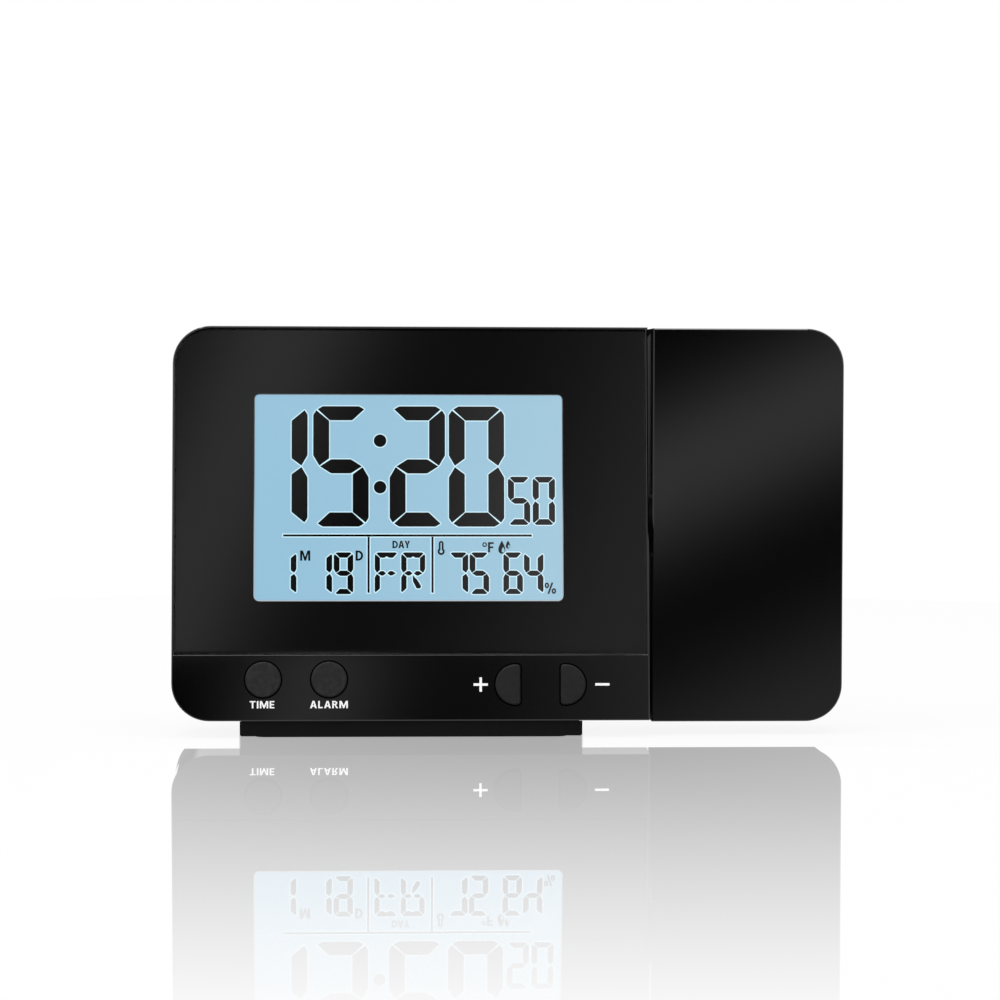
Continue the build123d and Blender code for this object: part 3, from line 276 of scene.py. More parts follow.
def lcd_light(name, glass, left_color, right_color, strength):
    """Backlit display, a little darker at the left, where the light guide starts to spread."""
    low, high = glass
    look = Shader(name, (0.02, 0.03, 0.035), 0.35, Specular_IOR_Level=0.1)
    across = look.axis("X", low, high)
    foggy = calc(look.tree, "MULTIPLY_ADD", look.noise(60.0, 2.0), LCD_FOG, across)
    look.glow_from(look.ramp(foggy, (0.0, left_color), (1.0, right_color)), strength)
    return look.material


def lcd_ink_and_sheen(glass):
    """Dark liquid crystal with painted sheen: nearly black at the left, soft charcoal at the
    right.
    """
    low, high = glass
    look = Shader("lcd_ink_and_sheen", (0.002, 0.002, 0.002), 0.5, Specular_IOR_Level=0.0)
    across = look.axis("X", low, high)
    # Painted sheen: colour and glow both rise from left to right across the glass.
    look.color_from(
        look.ramp(across, (0.3, (0.0003, 0.0003, 0.0003)), (0.9, (0.004, 0.004, 0.004)))
    )
    look.glow_from(look.ramp(across, (0.35, (0.0, 0.0, 0.0)), (0.85, (0.03, 0.028, 0.029))), 1.0)
    return look.material


def print_white_and_glow():
    """Screen-printed legends, with a faint painted glow."""
    look = Shader("print_white_and_glow", (0.9, 0.9, 0.9), 0.5)
    specks = look.noise(2500.0)
    look.color_from(look.ramp(specks, (0.2, (0.82, 0.82, 0.82)), (0.6, (0.95, 0.95, 0.95))))
    # Painted glow: the print gives off a little light of its own, so that it shows as full white.
    look.glow_from(look.ramp(specks, (0.2, (0.9, 0.9, 0.9)), (0.6, (1.0, 1.0, 1.0))), 0.12)
    return look.material


def plated_steel(name, shade, roughness=0.3):
    """Bright plated metal with fine drawing marks."""
    look = Shader(name, shade, roughness, Metallic=1.0)
    marks = look.noise(2200.0, 2.0)
    look.rough_from(look.spread(marks, roughness * 0.7, roughness * 1.4))
    look.bump(marks, 0.08, 0.00002)
    return look.material


def solder_mask():
    """Green lacquered board with faint copper shapes under the lacquer."""
    look = Shader("solder_mask_green", (0.01, 0.11, 0.04), 0.3)
    cells = look.nodes.new("ShaderNodeTexVoronoi")
    cells.distance = "MANHATTAN"
    cells.inputs["Scale"].default_value = 260.0
    look.link(look.place, cells.inputs["Vector"])
    lines = cells.outputs["Distance"]
    look.color_from(look.ramp(lines, (0.42, (0.008, 0.085, 0.03)), (0.5, (0.02, 0.16, 0.06))))
    look.bump(lines, 0.1, 0.00003)
    return look.material


def cell_sleeve(low, high):
    """Battery sleeves: dark with a pale grey end; the two cells lie in opposite ways."""
    look = Shader("cell_sleeve", (0.03, 0.03, 0.03), 0.3, Metallic=0.6)
    along = look.axis("X", low[0], high[0])
    upper = calc(look.tree, "GREATER_THAN", look.axis("Z", low[2], high[2]), 0.5)
    turned = calc(look.tree, "ABSOLUTE", calc(look.tree, "SUBTRACT", along, upper))
    look.color_from(
        look.ramp(
            turned,
            (0.0, (0.03, 0.03, 0.034)),
            (0.69, (0.03, 0.03, 0.034)),
            (0.7, (0.34, 0.35, 0.36)),
            (0.97, (0.38, 0.39, 0.4)),
            (0.98, (0.6, 0.6, 0.58)),
        )
    )
    look.rough_from(look.spread(look.noise(300.0), 0.22, 0.4))
    return look.material


def lens_glass():
    """Moulded acrylic lens."""
    look = Shader("lens_acrylic", (1.0, 0.93, 0.93), 0.0, IOR=1.49, Transmission_Weight=1.0)
    look.rough_from(look.spread(look.noise(200.0), 0.0, 0.02))
    return look.material


def red_emitter():
    """Clear red LED body, lit."""
    look = Shader("red_led", (0.6, 0.01, 0.008), 0.15, IOR=1.5)
    look.glow_from(
        look.ramp(look.noise(400.0), (0.3, (1.0, 0.02, 0.015)), (0.7, (1.0, 0.05, 0.03))), 2.5
    )
    return look.material


def film_print():
    """Projection film: dark, lit red from below."""
    look = Shader("projection_film_print", (0.02, 0.004, 0.004), 0.3)
    look.glow_from(
        look.ramp(look.noise(900.0), (0.4, (0.25, 0.004, 0.003)), (0.6, (0.5, 0.01, 0.008))), 1.0
    )
    return look.material


# ------------------------------------------------------------------ flat pieces on the face
# Outlines are lists of (x, y) in millimetres.
PRINT_THICKNESS = 0.02


def rounded(points, radius, steps=4):
    """The outline with each corner turned into a curve that takes less than half of each side."""
    outline = []
    count = len(points)
    for i, point in enumerate(points):
        here = Vector(point)
        before = Vector(points[i - 1]) - here
        after = Vector(points[(i + 1) % count]) - here
        reach = min(radius, before.length * 0.45, after.length * 0.45)
        start = here + before.normalized() * reach
        end = here + after.normalized() * reach
        for step in range(steps + 1):
            t = step / steps
            outline.append(tuple(start * (1 - t) ** 2 + here * 2 * t * (1 - t) + end * t**2))
    return outline


def grown(points, amount):
    """The outline pushed outwards all round, and sharp corners by twice the amount at most."""
    count = len(points)
    area = sum(
        points[i - 1][0] * points[i][1] - points[i][0] * points[i - 1][1] for i in range(count)
    )
    side = 1.0 if area > 0 else -1.0
    outline = []
    for i, point in enumerate(points):
        here = Vector(point)
        along_in = (here - Vector(points[i - 1])).normalized()
        along_out = (Vector(points[(i + 1) % count]) - here).normalized()
        normal_in = Vector((along_in.y, -along_in.x)) * side
        normal_out = Vector((along_out.y, -along_out.x)) * side
        middle = (normal_in + normal_out).normalized()
        outline.append(tuple(here + middle * amount / max(middle.dot(normal_in), 0.5)))
    return outline


def moved(points, x, y):
    """The outline shifted by x and y."""
    return [(px + x, py + y) for px, py in points]


def circle(x, y, radius, count=40):
    """A circle as a ring of points."""
    turns = [2 * math.pi * i / count for i in range(count)]
    return [(x + radius * math.cos(t), y + radius * math.sin(t)) for t in turns]


def arc(x, y, radius_x, radius_y, start, end, count=10):
    """Points along part of an ellipse, angles in degrees counted from +X towards +Y."""
    outline = []
    for i in range(count + 1):
        t = math.radians(start + (end - start) * i / count)
        outline.append((x + radius_x * math.cos(t), y + radius_y * math.sin(t)))
    return outline


def bar(x_low, x_high, low, high):
    """A rectangle between two values of x and two of y."""
    return [(x_low, low), (x_high, low), (x_high, high), (x_low, high)]


def flat_mesh(outlines):
    """Mesh of flat outlines, as thick as print; an outline inside another is a hole."""
    curve = bpy.data.curves.new("flat", "CURVE")
    curve.dimensions = "2D"
    curve.fill_mode = "BOTH"
    curve.extrude = PRINT_THICKNESS / 2 * MM
    for outline in outlines:
        spline = curve.splines.new("POLY")
        spline.points.add(len(outline) - 1)
        for point, (x, y) in zip(spline.points, outline):
            point.co = (x * MM, y * MM, 0.0, 1.0)
        spline.use_cyclic_u = True
    maker = bpy.data.objects.new("flat", curve)
    mesh = bpy.data.meshes.new_from_object(maker)
    bpy.data.objects.remove(maker)
    bpy.data.curves.remove(curve)
    return mesh


def glyph(letter, t):
    """Outlines and width w of a capital of height 1, with uprights t and bars h thick.

    The other numbers are shares of the height.
    """
    h = t * 0.88
    if letter == "I":
        return [bar(0, t, 0, 1)], t
    if letter == "L":
        w = 0.54
        return [[(0, 0), (w, 0), (w, h), (t, h), (t, 1), (0, 1)]], w
    if letter == "T":
        w, left, right = 0.68, 0.34 - t / 2, 0.34 + t / 2
        return [
            [(0, 1), (w, 1), (w, 1 - h), (right, 1 - h)]
            + [(right, 0), (left, 0), (left, 1 - h), (0, 1 - h)]
        ], w
    if letter in "EF":
        w, low, high = 0.56, 0.5 - h / 2, 0.5 + h / 2
        foot = [(0, 0), (w, 0), (w, h), (t, h)] if letter == "E" else [(0, 0), (t, 0)]
        arms = [(t, low), (w * 0.93, low), (w * 0.93, high), (t, high)]
        return [foot + arms + [(t, 1 - h), (w, 1 - h), (w, 1), (0, 1)]], w
    if letter == "M":
        w, dip, rise = 1.0, 0.36, 0.68
        return [
            [(0, 0), (0, 1), (1.3 * t, 1), (w / 2, dip), (w - 1.3 * t, 1), (w, 1), (w, 0)]
            + [(w - t, 0), (w - t, rise), (w / 2 + 0.38 * t, 0), (w / 2 - 0.38 * t, 0)]
            + [(t, rise), (t, 0)]
        ], w
    if letter == "A":
        w, peak, low, high = 0.8, 0.79, 0.22, 0.22 + h
        foot = 1.12 * t

        def inner(y):
            return foot + (w / 2 - foot) * y / peak

        return [
            [(0, 0), (w / 2 - 0.6 * t, 1), (w / 2 + 0.6 * t, 1), (w, 0), (w - foot, 0)]
            + [(w - inner(low), low), (inner(low), low), (foot, 0)],
            [(inner(high), high), (w / 2, peak), (w - inner(high), high)],
        ], w
    if letter == "R":
        w, x, r = 0.7, 0.3, 0.29
        bowl = arc(x, 1 - r, 0.3, r, 90, -62)
        return [
            [(0, 0), (0, 1)]
            + bowl
            + [(w, 0), (w - 1.2 * t, 0), (x, 1 - 2 * r), (t, 1 - 2 * r), (t, 0)],
            [(t, 1 - 2 * r + h), (t, 1 - h)] + arc(x, 1 - r, 0.3 - t, r - h, 90, -90),
        ], w
    if letter == "D":
        w, x = 0.74, 0.26
        return [
            [(0, 0), (0, 1)] + arc(x, 0.5, w - x, 0.5, 90, -90, 16),
            [(t, h), (t, 1 - h)] + arc(x, 0.5, w - x - t, 0.5 - h, 90, -90, 16),
        ], w
    if letter == "Y":
        w, left, right = 0.7, 0.35 - t / 2, 0.35 + t / 2
        return [
            [(left, 0), (left, 0.4), (0, 1), (1.15 * t, 1), (w / 2, 0.58)]
            + [(w - 1.15 * t, 1), (w, 1), (right, 0.4), (right, 0)]
        ], w
    # What is left is the per cent sign.
    rings = []
    for x, y in ((0.2, 0.75), (0.82, 0.25)):
        rings.append(arc(x, y, 0.2, 0.25, 0, 345, 23))
        rings.append(arc(x, y, 0.2 - t * 0.85, 0.25 - t * 0.85, 0, 345, 23))
    return rings + [[(0.25, 0), (0.25 + t, 0), (0.77, 1), (0.77 - t, 1)]], 1.02


def word_outlines(word, height, stroke, spacing, x, y, widening=1.0):
    """Outlines of a word with its middle at x, y; stroke and spacing are shares of the height."""
    placed, width = [], 0.0
    for letter in word:
        outlines, letter_width = glyph(letter, stroke)
        placed.extend(moved(outline, width, -0.5) for outline in outlines)
        width += letter_width + spacing
    width -= spacing
    wide = height * widening
    return [
        [(x + (px - width / 2) * wide, y + py * height) for px, py in outline]
        for outline in placed
    ]


def joined(name, parts, material, body):
    """One piece from (mesh, matrix) pairs, riding on a body."""
    mesh = bpy.data.meshes.new(name)
    vertices, faces = [], []
    for part, matrix in parts:
        start = len(vertices)
        vertices.extend(matrix @ v.co for v in part.vertices)
        faces.extend([start + i for i in polygon.vertices] for polygon in part.polygons)
        bpy.data.meshes.remove(part)
    mesh.from_pydata(vertices, [], faces)
    mesh.validate()
    mesh.materials.append(material)
    piece = in_scene(name, mesh)
    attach(piece, body)
    return piece


# ------------------------------------------------------------------ display
# The window is the glass less a border.  The layers of ink and of painted glow lie in front of the
# glass, at so many print thicknesses.
GLASS_LOW, GLASS_HIGH = face_extent("lcd_glass")
GLASS_BORDER = 2.2
WINDOW_LEFT = GLASS_LOW[0] / MM + GLASS_BORDER
WINDOW_TOP = GLASS_HIGH[1] / MM - GLASS_BORDER
WINDOW_WIDTH = (GLASS_HIGH[0] - GLASS_LOW[0]) / MM - 2 * GLASS_BORDER
WINDOW_HEIGHT = (GLASS_HIGH[1] - GLASS_LOW[1]) / MM - 2 * GLASS_BORDER
GLASS_FRONT = GLASS_LOW[2] / MM
GLASS_SPAN = (GLASS_LOW[0], GLASS_HIGH[0])
HALO_LAYER = 1.0
INK_LAYER = 2.5

# Cell, thickness of uprights and bars, gap between segments and rounding of their corners, in
# millimetres: for the time, the seconds, the digits and the letters of the bottom row.
BIG = {"width": 12.5, "height": 27.2, "upright": 3.6, "bar": 3.2, "gap": 0.3, "corner": 0.12}
SECONDS = {"width": 5.05, "height": 10.9, "upright": 1.4, "bar": 1.32, "gap": 0.2, "corner": 0.08}
SMALL = {"width": 4.4, "height": 9.4, "upright": 1.3, "bar": 1.2, "gap": 0.22, "corner": 0.08}
LETTER = {"width": 5.4, "height": 9.4, "upright": 1.2, "bar": 1.22, "gap": 0.22, "corner": 0.08}

# Segments that are dark in each character, by the letters of segments().
LIT = {
    "0": "abcdef",
    "1": "bc",
    "2": "abged",
    "4": "fgbc",
    "5": "afgcd",
    "6": "afgecd",
    "7": "abc",
    "9": "abcfgd",
    "F": "AefGH",
    "R": "AefbGHk",
}

# Characters of the display: (character, style, left edge, top edge), in millimetres from the
# window's top left corner, to the right and down.
BIG_TOP = 2.6
SECONDS_TOP = 18.5
ROW_TOP = 35.6
CHARACTERS = [
    ("1", BIG, -0.5, BIG_TOP),
    ("5", BIG, 13.25, BIG_TOP),
    ("2", BIG, 30.45, BIG_TOP),
    ("0", BIG, 43.8, BIG_TOP),
    ("5", SECONDS, 57.12, SECONDS_TOP),
    ("0", SECONDS, 62.72, SECONDS_TOP),
    ("1", SMALL, 5.15, ROW_TOP),
    ("1", SMALL, 13.15, ROW_TOP),
    ("9", SMALL, 17.9, ROW_TOP),
    ("F", LETTER, 27.1, ROW_TOP),
    ("R", LETTER, 33.05, ROW_TOP),
    ("7", SMALL, 43.75, ROW_TOP),
    ("5", SMALL, 48.45, ROW_TOP),
    ("6", SMALL, 56.05, ROW_TOP),
    ("4", SMALL, 60.7, ROW_TOP),
]
# The rest of the display, also from the window's top left corner.
COLON_X = 28.3
COLON_ROWS = (10.4, 20.9)
COLON_RADIUS = 1.42
RULE_WIDTH = 0.48
RULE_ROW = 31.8
RULE_SPAN = (6.55, 62.5)
RULE_COLUMNS = (25.73, 40.1)
RULE_BOTTOM = 44.7
# Words: (word, height, stroke as a share of the height, middle in x, middle in y).
WORDS = [
    ("M", 2.28, 0.21, 11.5, 36.33),
    ("D", 2.28, 0.21, 23.65, 36.33),
    ("DAY", 1.66, 0.215, 33.05, 33.82),
    ("F", 2.3, 0.2, 53.25, 34.45),
    ("%", 2.55, 0.165, 66.65, 43.68),
]
WORD_SPACING = 0.06
# Degree ring: x, y, outer and inner radius.  Thermometer: x, top, bottom, and the half width of
# its stem and the radius of its bulb, outside and inside.  Drops: x, y and height; then, as shares
# of the height, their half width, and the place and height of the hole.
DEGREE = (51.85, 33.85, 0.53, 0.27)
THERMOMETER = (42.05, 33.0, 36.2)
THERMOMETER_SIZES = ((0.54, 0.8), (0.14, 0.36))
DROPLETS = ((55.72, 34.4, 3.0), (57.12, 33.8, 1.9))
DROP_WIDTH = 0.36
DROP_HOLE = (0.1, 0.2, 0.42)
# Width of the painted glowing rim round the segments, colon and ruled lines, in millimetres.
HALO = 0.22


def segments(style):
    """Outlines of a digit's segments, x to the right and y down from the cell's top left corner.

    The cell is w wide and h high, uprights are tv and bars th thick, and e keeps the gap.
    The other numbers are shares of those thicknesses.
    """
    w, h = style["width"], style["height"]
    tv, th = style["upright"], style["bar"]
    middle = h / 2
    e = style["gap"] / 2 / math.sqrt(2)

    def across(points):
        return [(w - x, y) for x, y in points]

    def down(points):
        return [(x, h - y) for x, y in points]

    top = [
        (0.25 * tv + e, 0.25 * th - e),
        (0.6 * tv, 0.0),
        (w - 0.6 * tv, 0.0),
        (w - 0.25 * tv - e, 0.25 * th - e),
        (w - tv - e, th),
        (tv + e, th),
    ]
    upper_left = [
        (0.22 * tv - e, 0.25 * th + e),
        (0.0, 0.62 * th),
        (0.0, middle - 0.78 * th),
        (0.38 * tv, middle - style["gap"] / 2),
        (tv, middle - 0.56 * th),
        (tv, th + e),
    ]
    centre = [
        (0.42 * tv, middle),
        (1.12 * tv, middle - th / 2),
        (w - 1.12 * tv, middle - th / 2),
        (w - 0.42 * tv, middle),
        (w - 1.12 * tv, middle + th / 2),
        (1.12 * tv, middle + th / 2),
    ]
    notched_top = top[:4] + [
        (w - tv - e, th),
        (w / 2 + 0.45 * tv, th),
        (w / 2, th * 0.72),
        (w / 2 - 0.45 * tv, th),
        (tv + e, th),
    ]
    half_dash = [
        (0.52 * tv, middle),
        (1.2 * tv, middle - 0.42 * th),
        (w / 2 - 0.6 * tv, middle - 0.42 * th),
        (w / 2 - 0.12 * tv, middle),
        (w / 2 - 0.6 * tv, middle + 0.42 * th),
        (1.2 * tv, middle + 0.42 * th),
    ]
    leg = [
        (w / 2 - 0.1 * tv, middle + 0.3 * th),
        (w / 2 + 0.75 * tv, middle + 1.2 * th),
        (w / 2 + 1.5 * tv, h - 1.5 * th),
        (w / 2 + 1.3 * tv, h - 1.05 * th),
        (w / 2 + 0.62 * tv, h - 1.05 * th),
        (w / 2 - 0.05 * tv, middle + 1.5 * th),
    ]
    return {
        "a": top,
        "A": notched_top,
        "b": across(upper_left),
        "c": down(across(upper_left)),
        "d": down(top),
        "e": down(upper_left),
        "f": upper_left,
        "g": centre,
        "G": half_dash,
        "H": across(half_dash),
        "k": leg,
    }


def drop(x, y, height, count=28):
    """A falling drop: round below, pointed above."""
    outline = []
    for i in range(count):
        t = 2 * math.pi * i / count
        width = DROP_WIDTH * height * math.sin(t) * math.sin(t / 2) ** 1.3
        outline.append((x + width, y - height / 2 * math.cos(t)))
    return outline


def display_outlines():
    """Segments, colon and ruled lines, x to the right and y down from the window's corner."""
    outlines = []
    for character, style, left, top in CHARACTERS:
        shapes = segments(style)
        for letter in LIT[character]:
            outlines.append(moved(rounded(shapes[letter], style["corner"]), left, top))
    for row in COLON_ROWS:
        outlines.append(circle(COLON_X, row, COLON_RADIUS))
    half = RULE_WIDTH / 2
    outlines.append(bar(*RULE_SPAN, RULE_ROW - half, RULE_ROW + half))
    for column in RULE_COLUMNS:
        outlines.append(bar(column - half, column + half, RULE_ROW + half * 1.2, RULE_BOTTOM))
    return outlines


def icon_outlines():
    """Degree ring, thermometer and drops, as outlines and the holes in them."""
    x, y, outer, inner = DEGREE
    outlines = [circle(x, y, outer, 20), circle(x, y, inner, 20)]
    x, top, bottom = THERMOMETER
    outer_stem, outer_bulb = THERMOMETER_SIZES[0]
    for stem, bulb in THERMOMETER_SIZES:
        stem_top = top + outer_stem - stem
        bulb_row = bottom - outer_bulb
        outline = [(x - stem, stem_top + stem), (x - stem * 0.7, stem_top + stem * 0.3)]
        outline += [(x, stem_top), (x + stem * 0.7, stem_top + stem * 0.3)]
        outline.append((x + stem, stem_top + stem))
        opening = math.degrees(math.asin(stem / bulb))
        outlines.append(
            outline + arc(x, bulb_row, bulb, bulb, opening - 90, 270 - opening, 20)
        )
    aside, below, share = DROP_HOLE
    for x, y, height in DROPLETS:
        outlines.append(drop(x, y, height))
        outlines.append(drop(x + aside * height, y + below * height, share * height))
    return outlines


def on_window(outlines):
    """From places in the window to x and up on the face."""
    return [[(WINDOW_LEFT + x, WINDOW_TOP - y) for x, y in outline] for outline in outlines]


def make_display():
    """Dark segments, lines, words and signs on the glass; the first two get a painted glowing rim.
    """
    ink_and_sheen = lcd_ink_and_sheen(GLASS_SPAN)
    painted_halo = lcd_light("lcd_painted_halo", GLASS_SPAN, (0.56, 0.83, 0.93), (0.66, 0.86, 0.95), 1.15)
    dark = display_outlines()
    ink_plane = face_plane((GLASS_FRONT - INK_LAYER * PRINT_THICKNESS) * MM)
    halo_plane = face_plane((GLASS_FRONT - HALO_LAYER * PRINT_THICKNESS) * MM)
    inked = on_window(dark + icon_outlines())
    for word, height, stroke, x, y in WORDS:
        place = (WINDOW_LEFT + x, WINDOW_TOP - y)
        inked += word_outlines(word, height, stroke, WORD_SPACING, *place)
    joined("lcd_segments", [(flat_mesh(inked), ink_plane)], ink_and_sheen, "display_body")
    # Painted highlight: a rim that glows brighter than the display, round each dark shape.
    rims = [on_window([grown(outline, HALO)]) for outline in dark]
    rim_parts = [(flat_mesh(rim), halo_plane) for rim in rims]
    joined("lcd_painted_halo", rim_parts, painted_halo, "display_body")


# The sheet's distance behind the panel, and the width and corner radius of the window's edge, in
# millimetres.
MASK_GAP = 0.03
EDGE_WIDTH = 0.2
EDGE_CORNER = 1.3
CORNER_STEPS = 8


def make_mask_sheet():
    """The printed mask, a hair behind the panel, so that the panel's back face mirrors evenly."""
    mesh = frame["nodes"]["panel_mask"].data.copy()
    inwards = Matrix.Translation(INWARD * MASK_GAP * MM)
    sheet = joined("mask_sheet", [(mesh, inwards)], mask_print(), "display_body")
    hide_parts("panel_mask")


def make_window_edge():
    """Thin painted highlight on the mask round the display, glowing, brighter at the bottom."""
    mask_back = face_extent("panel_mask")[1][2]
    look = Shader("window_edge_painted_highlight", (0.3, 0.3, 0.31), 0.5)
    low, high = WINDOW_TOP - WINDOW_HEIGHT, WINDOW_TOP
    top_z = on_face(0, high * MM, 0).z
    low_z = on_face(0, low * MM, 0).z
    # Painted highlight: the ring glows, brightest at the bottom and fading to nearly black above.
    look.glow_from(
        look.ramp(
            look.axis("Z", low_z, top_z),
            (0.0, (0.4, 0.4, 0.42)),
            (0.4, (0.26, 0.26, 0.28)),
            (0.6, (0.01, 0.01, 0.01)),
        ),
        1.0,
    )
    right = WINDOW_LEFT + WINDOW_WIDTH
    outer = rounded(bar(WINDOW_LEFT, right, low, high), EDGE_CORNER, CORNER_STEPS)
    inner = rounded(
        bar(WINDOW_LEFT + EDGE_WIDTH, right - EDGE_WIDTH, low + EDGE_WIDTH, high - EDGE_WIDTH),
        EDGE_CORNER - EDGE_WIDTH,
        CORNER_STEPS,
    )
    ring = flat_mesh([outer, inner])
    plane = face_plane(mask_back - PRINT_THICKNESS * MM)
    joined("window_edge", [(ring, plane)], look.material, "display_body")


# ------------------------------------------------------------------ legends on the key strip
# In millimetres; the stroke and spacing of the words are shares of their height.
LEGEND_HEIGHT = 1.62
LEGEND_WIDENING = 1.16
LEGEND_STROKE = 0.19
LEGEND_SPACING = 0.16
LEGEND_DROP = 5.58
LEGEND_SHIFT = {"TIME": -0.2, "ALARM": 0.0}
SIGN_SIZE = 3.2
SIGN_STROKE = 0.55
PLUS_DISTANCE = 6.1
MINUS_DISTANCE = 6.54


def sign_outline(x, up, upright):
    """Outline of a plus, where upright is true, or a minus, with its middle at x and up."""
    half, stroke = SIGN_SIZE / 2, SIGN_STROKE / 2
    if not upright:
        return bar(x - half, x + half, up - stroke, up + stroke)
    quarter = [(-half, -stroke), (-stroke, -stroke), (-stroke, -half)]
    outline = []
    for _ in range(4):
        outline += [(x + px, up + py) for px, py in quarter]
        quarter = [(-py, px) for px, py in quarter]
    return outline


def key_centre(node):
    """Middle of a key, in millimetres across and up the face."""
    low, high = face_extent(node)
    return (low[0] + high[0]) / 2 / MM, (low[1] + high[1]) / 2 / MM


def make_legends():
    """White words under the round keys and signs beside the D-shaped ones."""
    plane = face_plane(face_extent("front_housing")[0][2] - PRINT_THICKNESS / 2 * MM)
    outlines = []
    for node, word in (("time_key", "TIME"), ("alarm_key", "ALARM")):
        x, up = key_centre(node)
        place = (x + LEGEND_SHIFT[word], up - LEGEND_DROP)
        outlines += word_outlines(
            word, LEGEND_HEIGHT, LEGEND_STROKE, LEGEND_SPACING, *place, LEGEND_WIDENING
        )
    for node, distance in (("plus_key", -PLUS_DISTANCE), ("minus_key", MINUS_DISTANCE)):
        x, up = key_centre(node)
        outlines.append(sign_outline(x + distance, up, node == "plus_key"))
    parts = [(flat_mesh(outlines), plane)]
    joined("key_legends", parts, print_white_and_glow(), "display_body")


# ------------------------------------------------------------------ finish of the CAD nodes


def dress_nodes():
    """Gives every CAD node that shows the material of its slot, and a few nodes their own."""
    cell_low, cell_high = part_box("battery_cells")
    # Painted shade: the D-shaped keys get a darker copy of the key rubber.
    painted_shade_key_rubber = rubber("painted_shade_key_rubber", (0.0066, 0.0066, 0.0074))
    finishes = {
        "gloss_case": gloss_black("gloss_case_black"),
        "matte_case": matte_black("matte_case_black", (0.003, 0.003, 0.0033)),
        "clear_panel": clear_panel(),
        "lcd": lcd_light(
            "lcd_glass_lit", GLASS_SPAN, (0.295, 0.545, 0.72), (0.385, 0.61, 0.755), 1.02
        ),
        "light_guide": satin_plastic("light_guide", (0.8, 0.86, 0.9), 0.15),
        "white_plastic": satin_plastic("white_plastic", (0.75, 0.75, 0.72)),
        "board": solder_mask(),
        "chip": satin_plastic("dark_plastic", (0.02, 0.02, 0.021)),
        "steel": plated_steel("screw_steel", (0.62, 0.61, 0.6)),
        "brass_spring": plated_steel("nickel_plate", (0.75, 0.73, 0.68), 0.22),
        "rubber_key": rubber("key_rubber", (0.012, 0.012, 0.0134)),
        "rubber_pad": rubber("pad_rubber", (0.006, 0.006, 0.006)),
        "cell_wrap": cell_sleeve(cell_low, cell_high),
        "lens": lens_glass(),
        "red_led": red_emitter(),
        "lead": satin_plastic("lead_sheath", (0.015, 0.015, 0.015)),
    }
    own_finishes = {
        "projection_film": film_print(),
        "plus_key": painted_shade_key_rubber,
        "minus_key": painted_shade_key_rubber,
    }
    for subpart in frame["record"]["subparts"]:
        name = subpart["node"]
        if name == "panel_mask":
            continue
        for slot in frame["nodes"][name].material_slots:
            slot.material = own_finishes.get(name) or finishes[subpart["material_slot"]]


# ------------------------------------------------------------------ studio
# The camera sees FLOOR_WHITE of the floor as plain white, and the rest as FLOOR_COLOR in light
# and shadow.  Glossy rays pass through it, so that the clock mirrors the studio.  The mirror image
# of the clock fades from FLOOR_MIRROR to nothing at MIRROR_REACH, as a power of the distance.  It
# lies beyond MIRROR_FRONT and within MIRROR_SIDE, only in grazing views, and it starts nearer, at
# FOOT_START, between two lines in front of the foot.  FOOT_EDGES gives each line's x at FOOT_FRONT
# and its lean.  The other edges are (place, softness) pairs.
FLOOR_RADIUS = 0.47
FLOOR_SIDES = 96
FLOOR_COLOR = (0.7, 0.7, 0.7, 1.0)
FLOOR_WHITE = 0.9
FLOOR_MIRROR = 0.59
MIRROR_REACH = 0.352
MIRROR_FADE = 1.5
MIRROR_FRONT = (0.0395, 0.0006)
MIRROR_SIDE = (0.095, 0.015)
MIRROR_GRAZING = (0.65, 0.12)
FOOT_FRONT = 0.0185
FOOT_EDGES = ((-0.06025, 0.034), (0.0164, -0.075))
FOOT_SOFT = 0.0003
FOOT_START = (0.01, 0.005)


def floor_mirror(tree):
    """Strength of the mirror image, by place on the floor and by how steep the view is."""
    place = tree.nodes.new("ShaderNodeTexCoord").outputs["Object"]
    split = tree.nodes.new("ShaderNodeSeparateXYZ")
    tree.links.new(place, split.inputs["Vector"])
    length = tree.nodes.new("ShaderNodeVectorMath")
    length.operation = "LENGTH"
    tree.links.new(place, length.inputs[0])
    reach = calc(tree, "DIVIDE", length.outputs["Value"], MIRROR_REACH)
    loss = calc(tree, "POWER", reach, MIRROR_FADE)
    fade = calc(tree, "MULTIPLY_ADD", loss, -FLOOR_MIRROR, FLOOR_MIRROR)
    fade.node.use_clamp = True
    facing = tree.nodes.new("ShaderNodeLayerWeight")
    facing.inputs["Blend"].default_value = 0.5
    grazing = soft_step(tree, facing.outputs["Facing"], *MIRROR_GRAZING)
    gloss = calc(tree, "MULTIPLY", fade, grazing)

    forward = calc(tree, "MULTIPLY", split.outputs["Y"], -1.0)
    ahead = soft_step(tree, forward, *MIRROR_FRONT)
    past_foot = calc(tree, "SUBTRACT", forward, FOOT_FRONT)
    sides = []
    for edge, lean in FOOT_EDGES:
        shifted = calc(tree, "MULTIPLY_ADD", past_foot, -lean, split.outputs["X"])
        sides.append(soft_step(tree, shifted, edge, FOOT_SOFT))
    started = soft_step(tree, forward, *FOOT_START)
    at_foot = calc(tree, "MULTIPLY", calc(tree, "SUBTRACT", *sides), started)
    aside = calc(tree, "ABSOLUTE", split.outputs["X"])
    beside = calc(tree, "SUBTRACT", 1.0, soft_step(tree, aside, *MIRROR_SIDE))
    pool = calc(tree, "MULTIPLY", calc(tree, "MAXIMUM", ahead, at_foot), beside)
    return calc(tree, "MULTIPLY", gloss, pool)


def mixed(tree, share, first, second):
    """Shader that goes from the first to the second as the share goes from 0 to 1."""
    node = tree.nodes.new("ShaderNodeMixShader")
    for output, node_input in zip((share, first, second), node.inputs):
        tree.links.new(output, node_input)
    return node.outputs["Shader"]


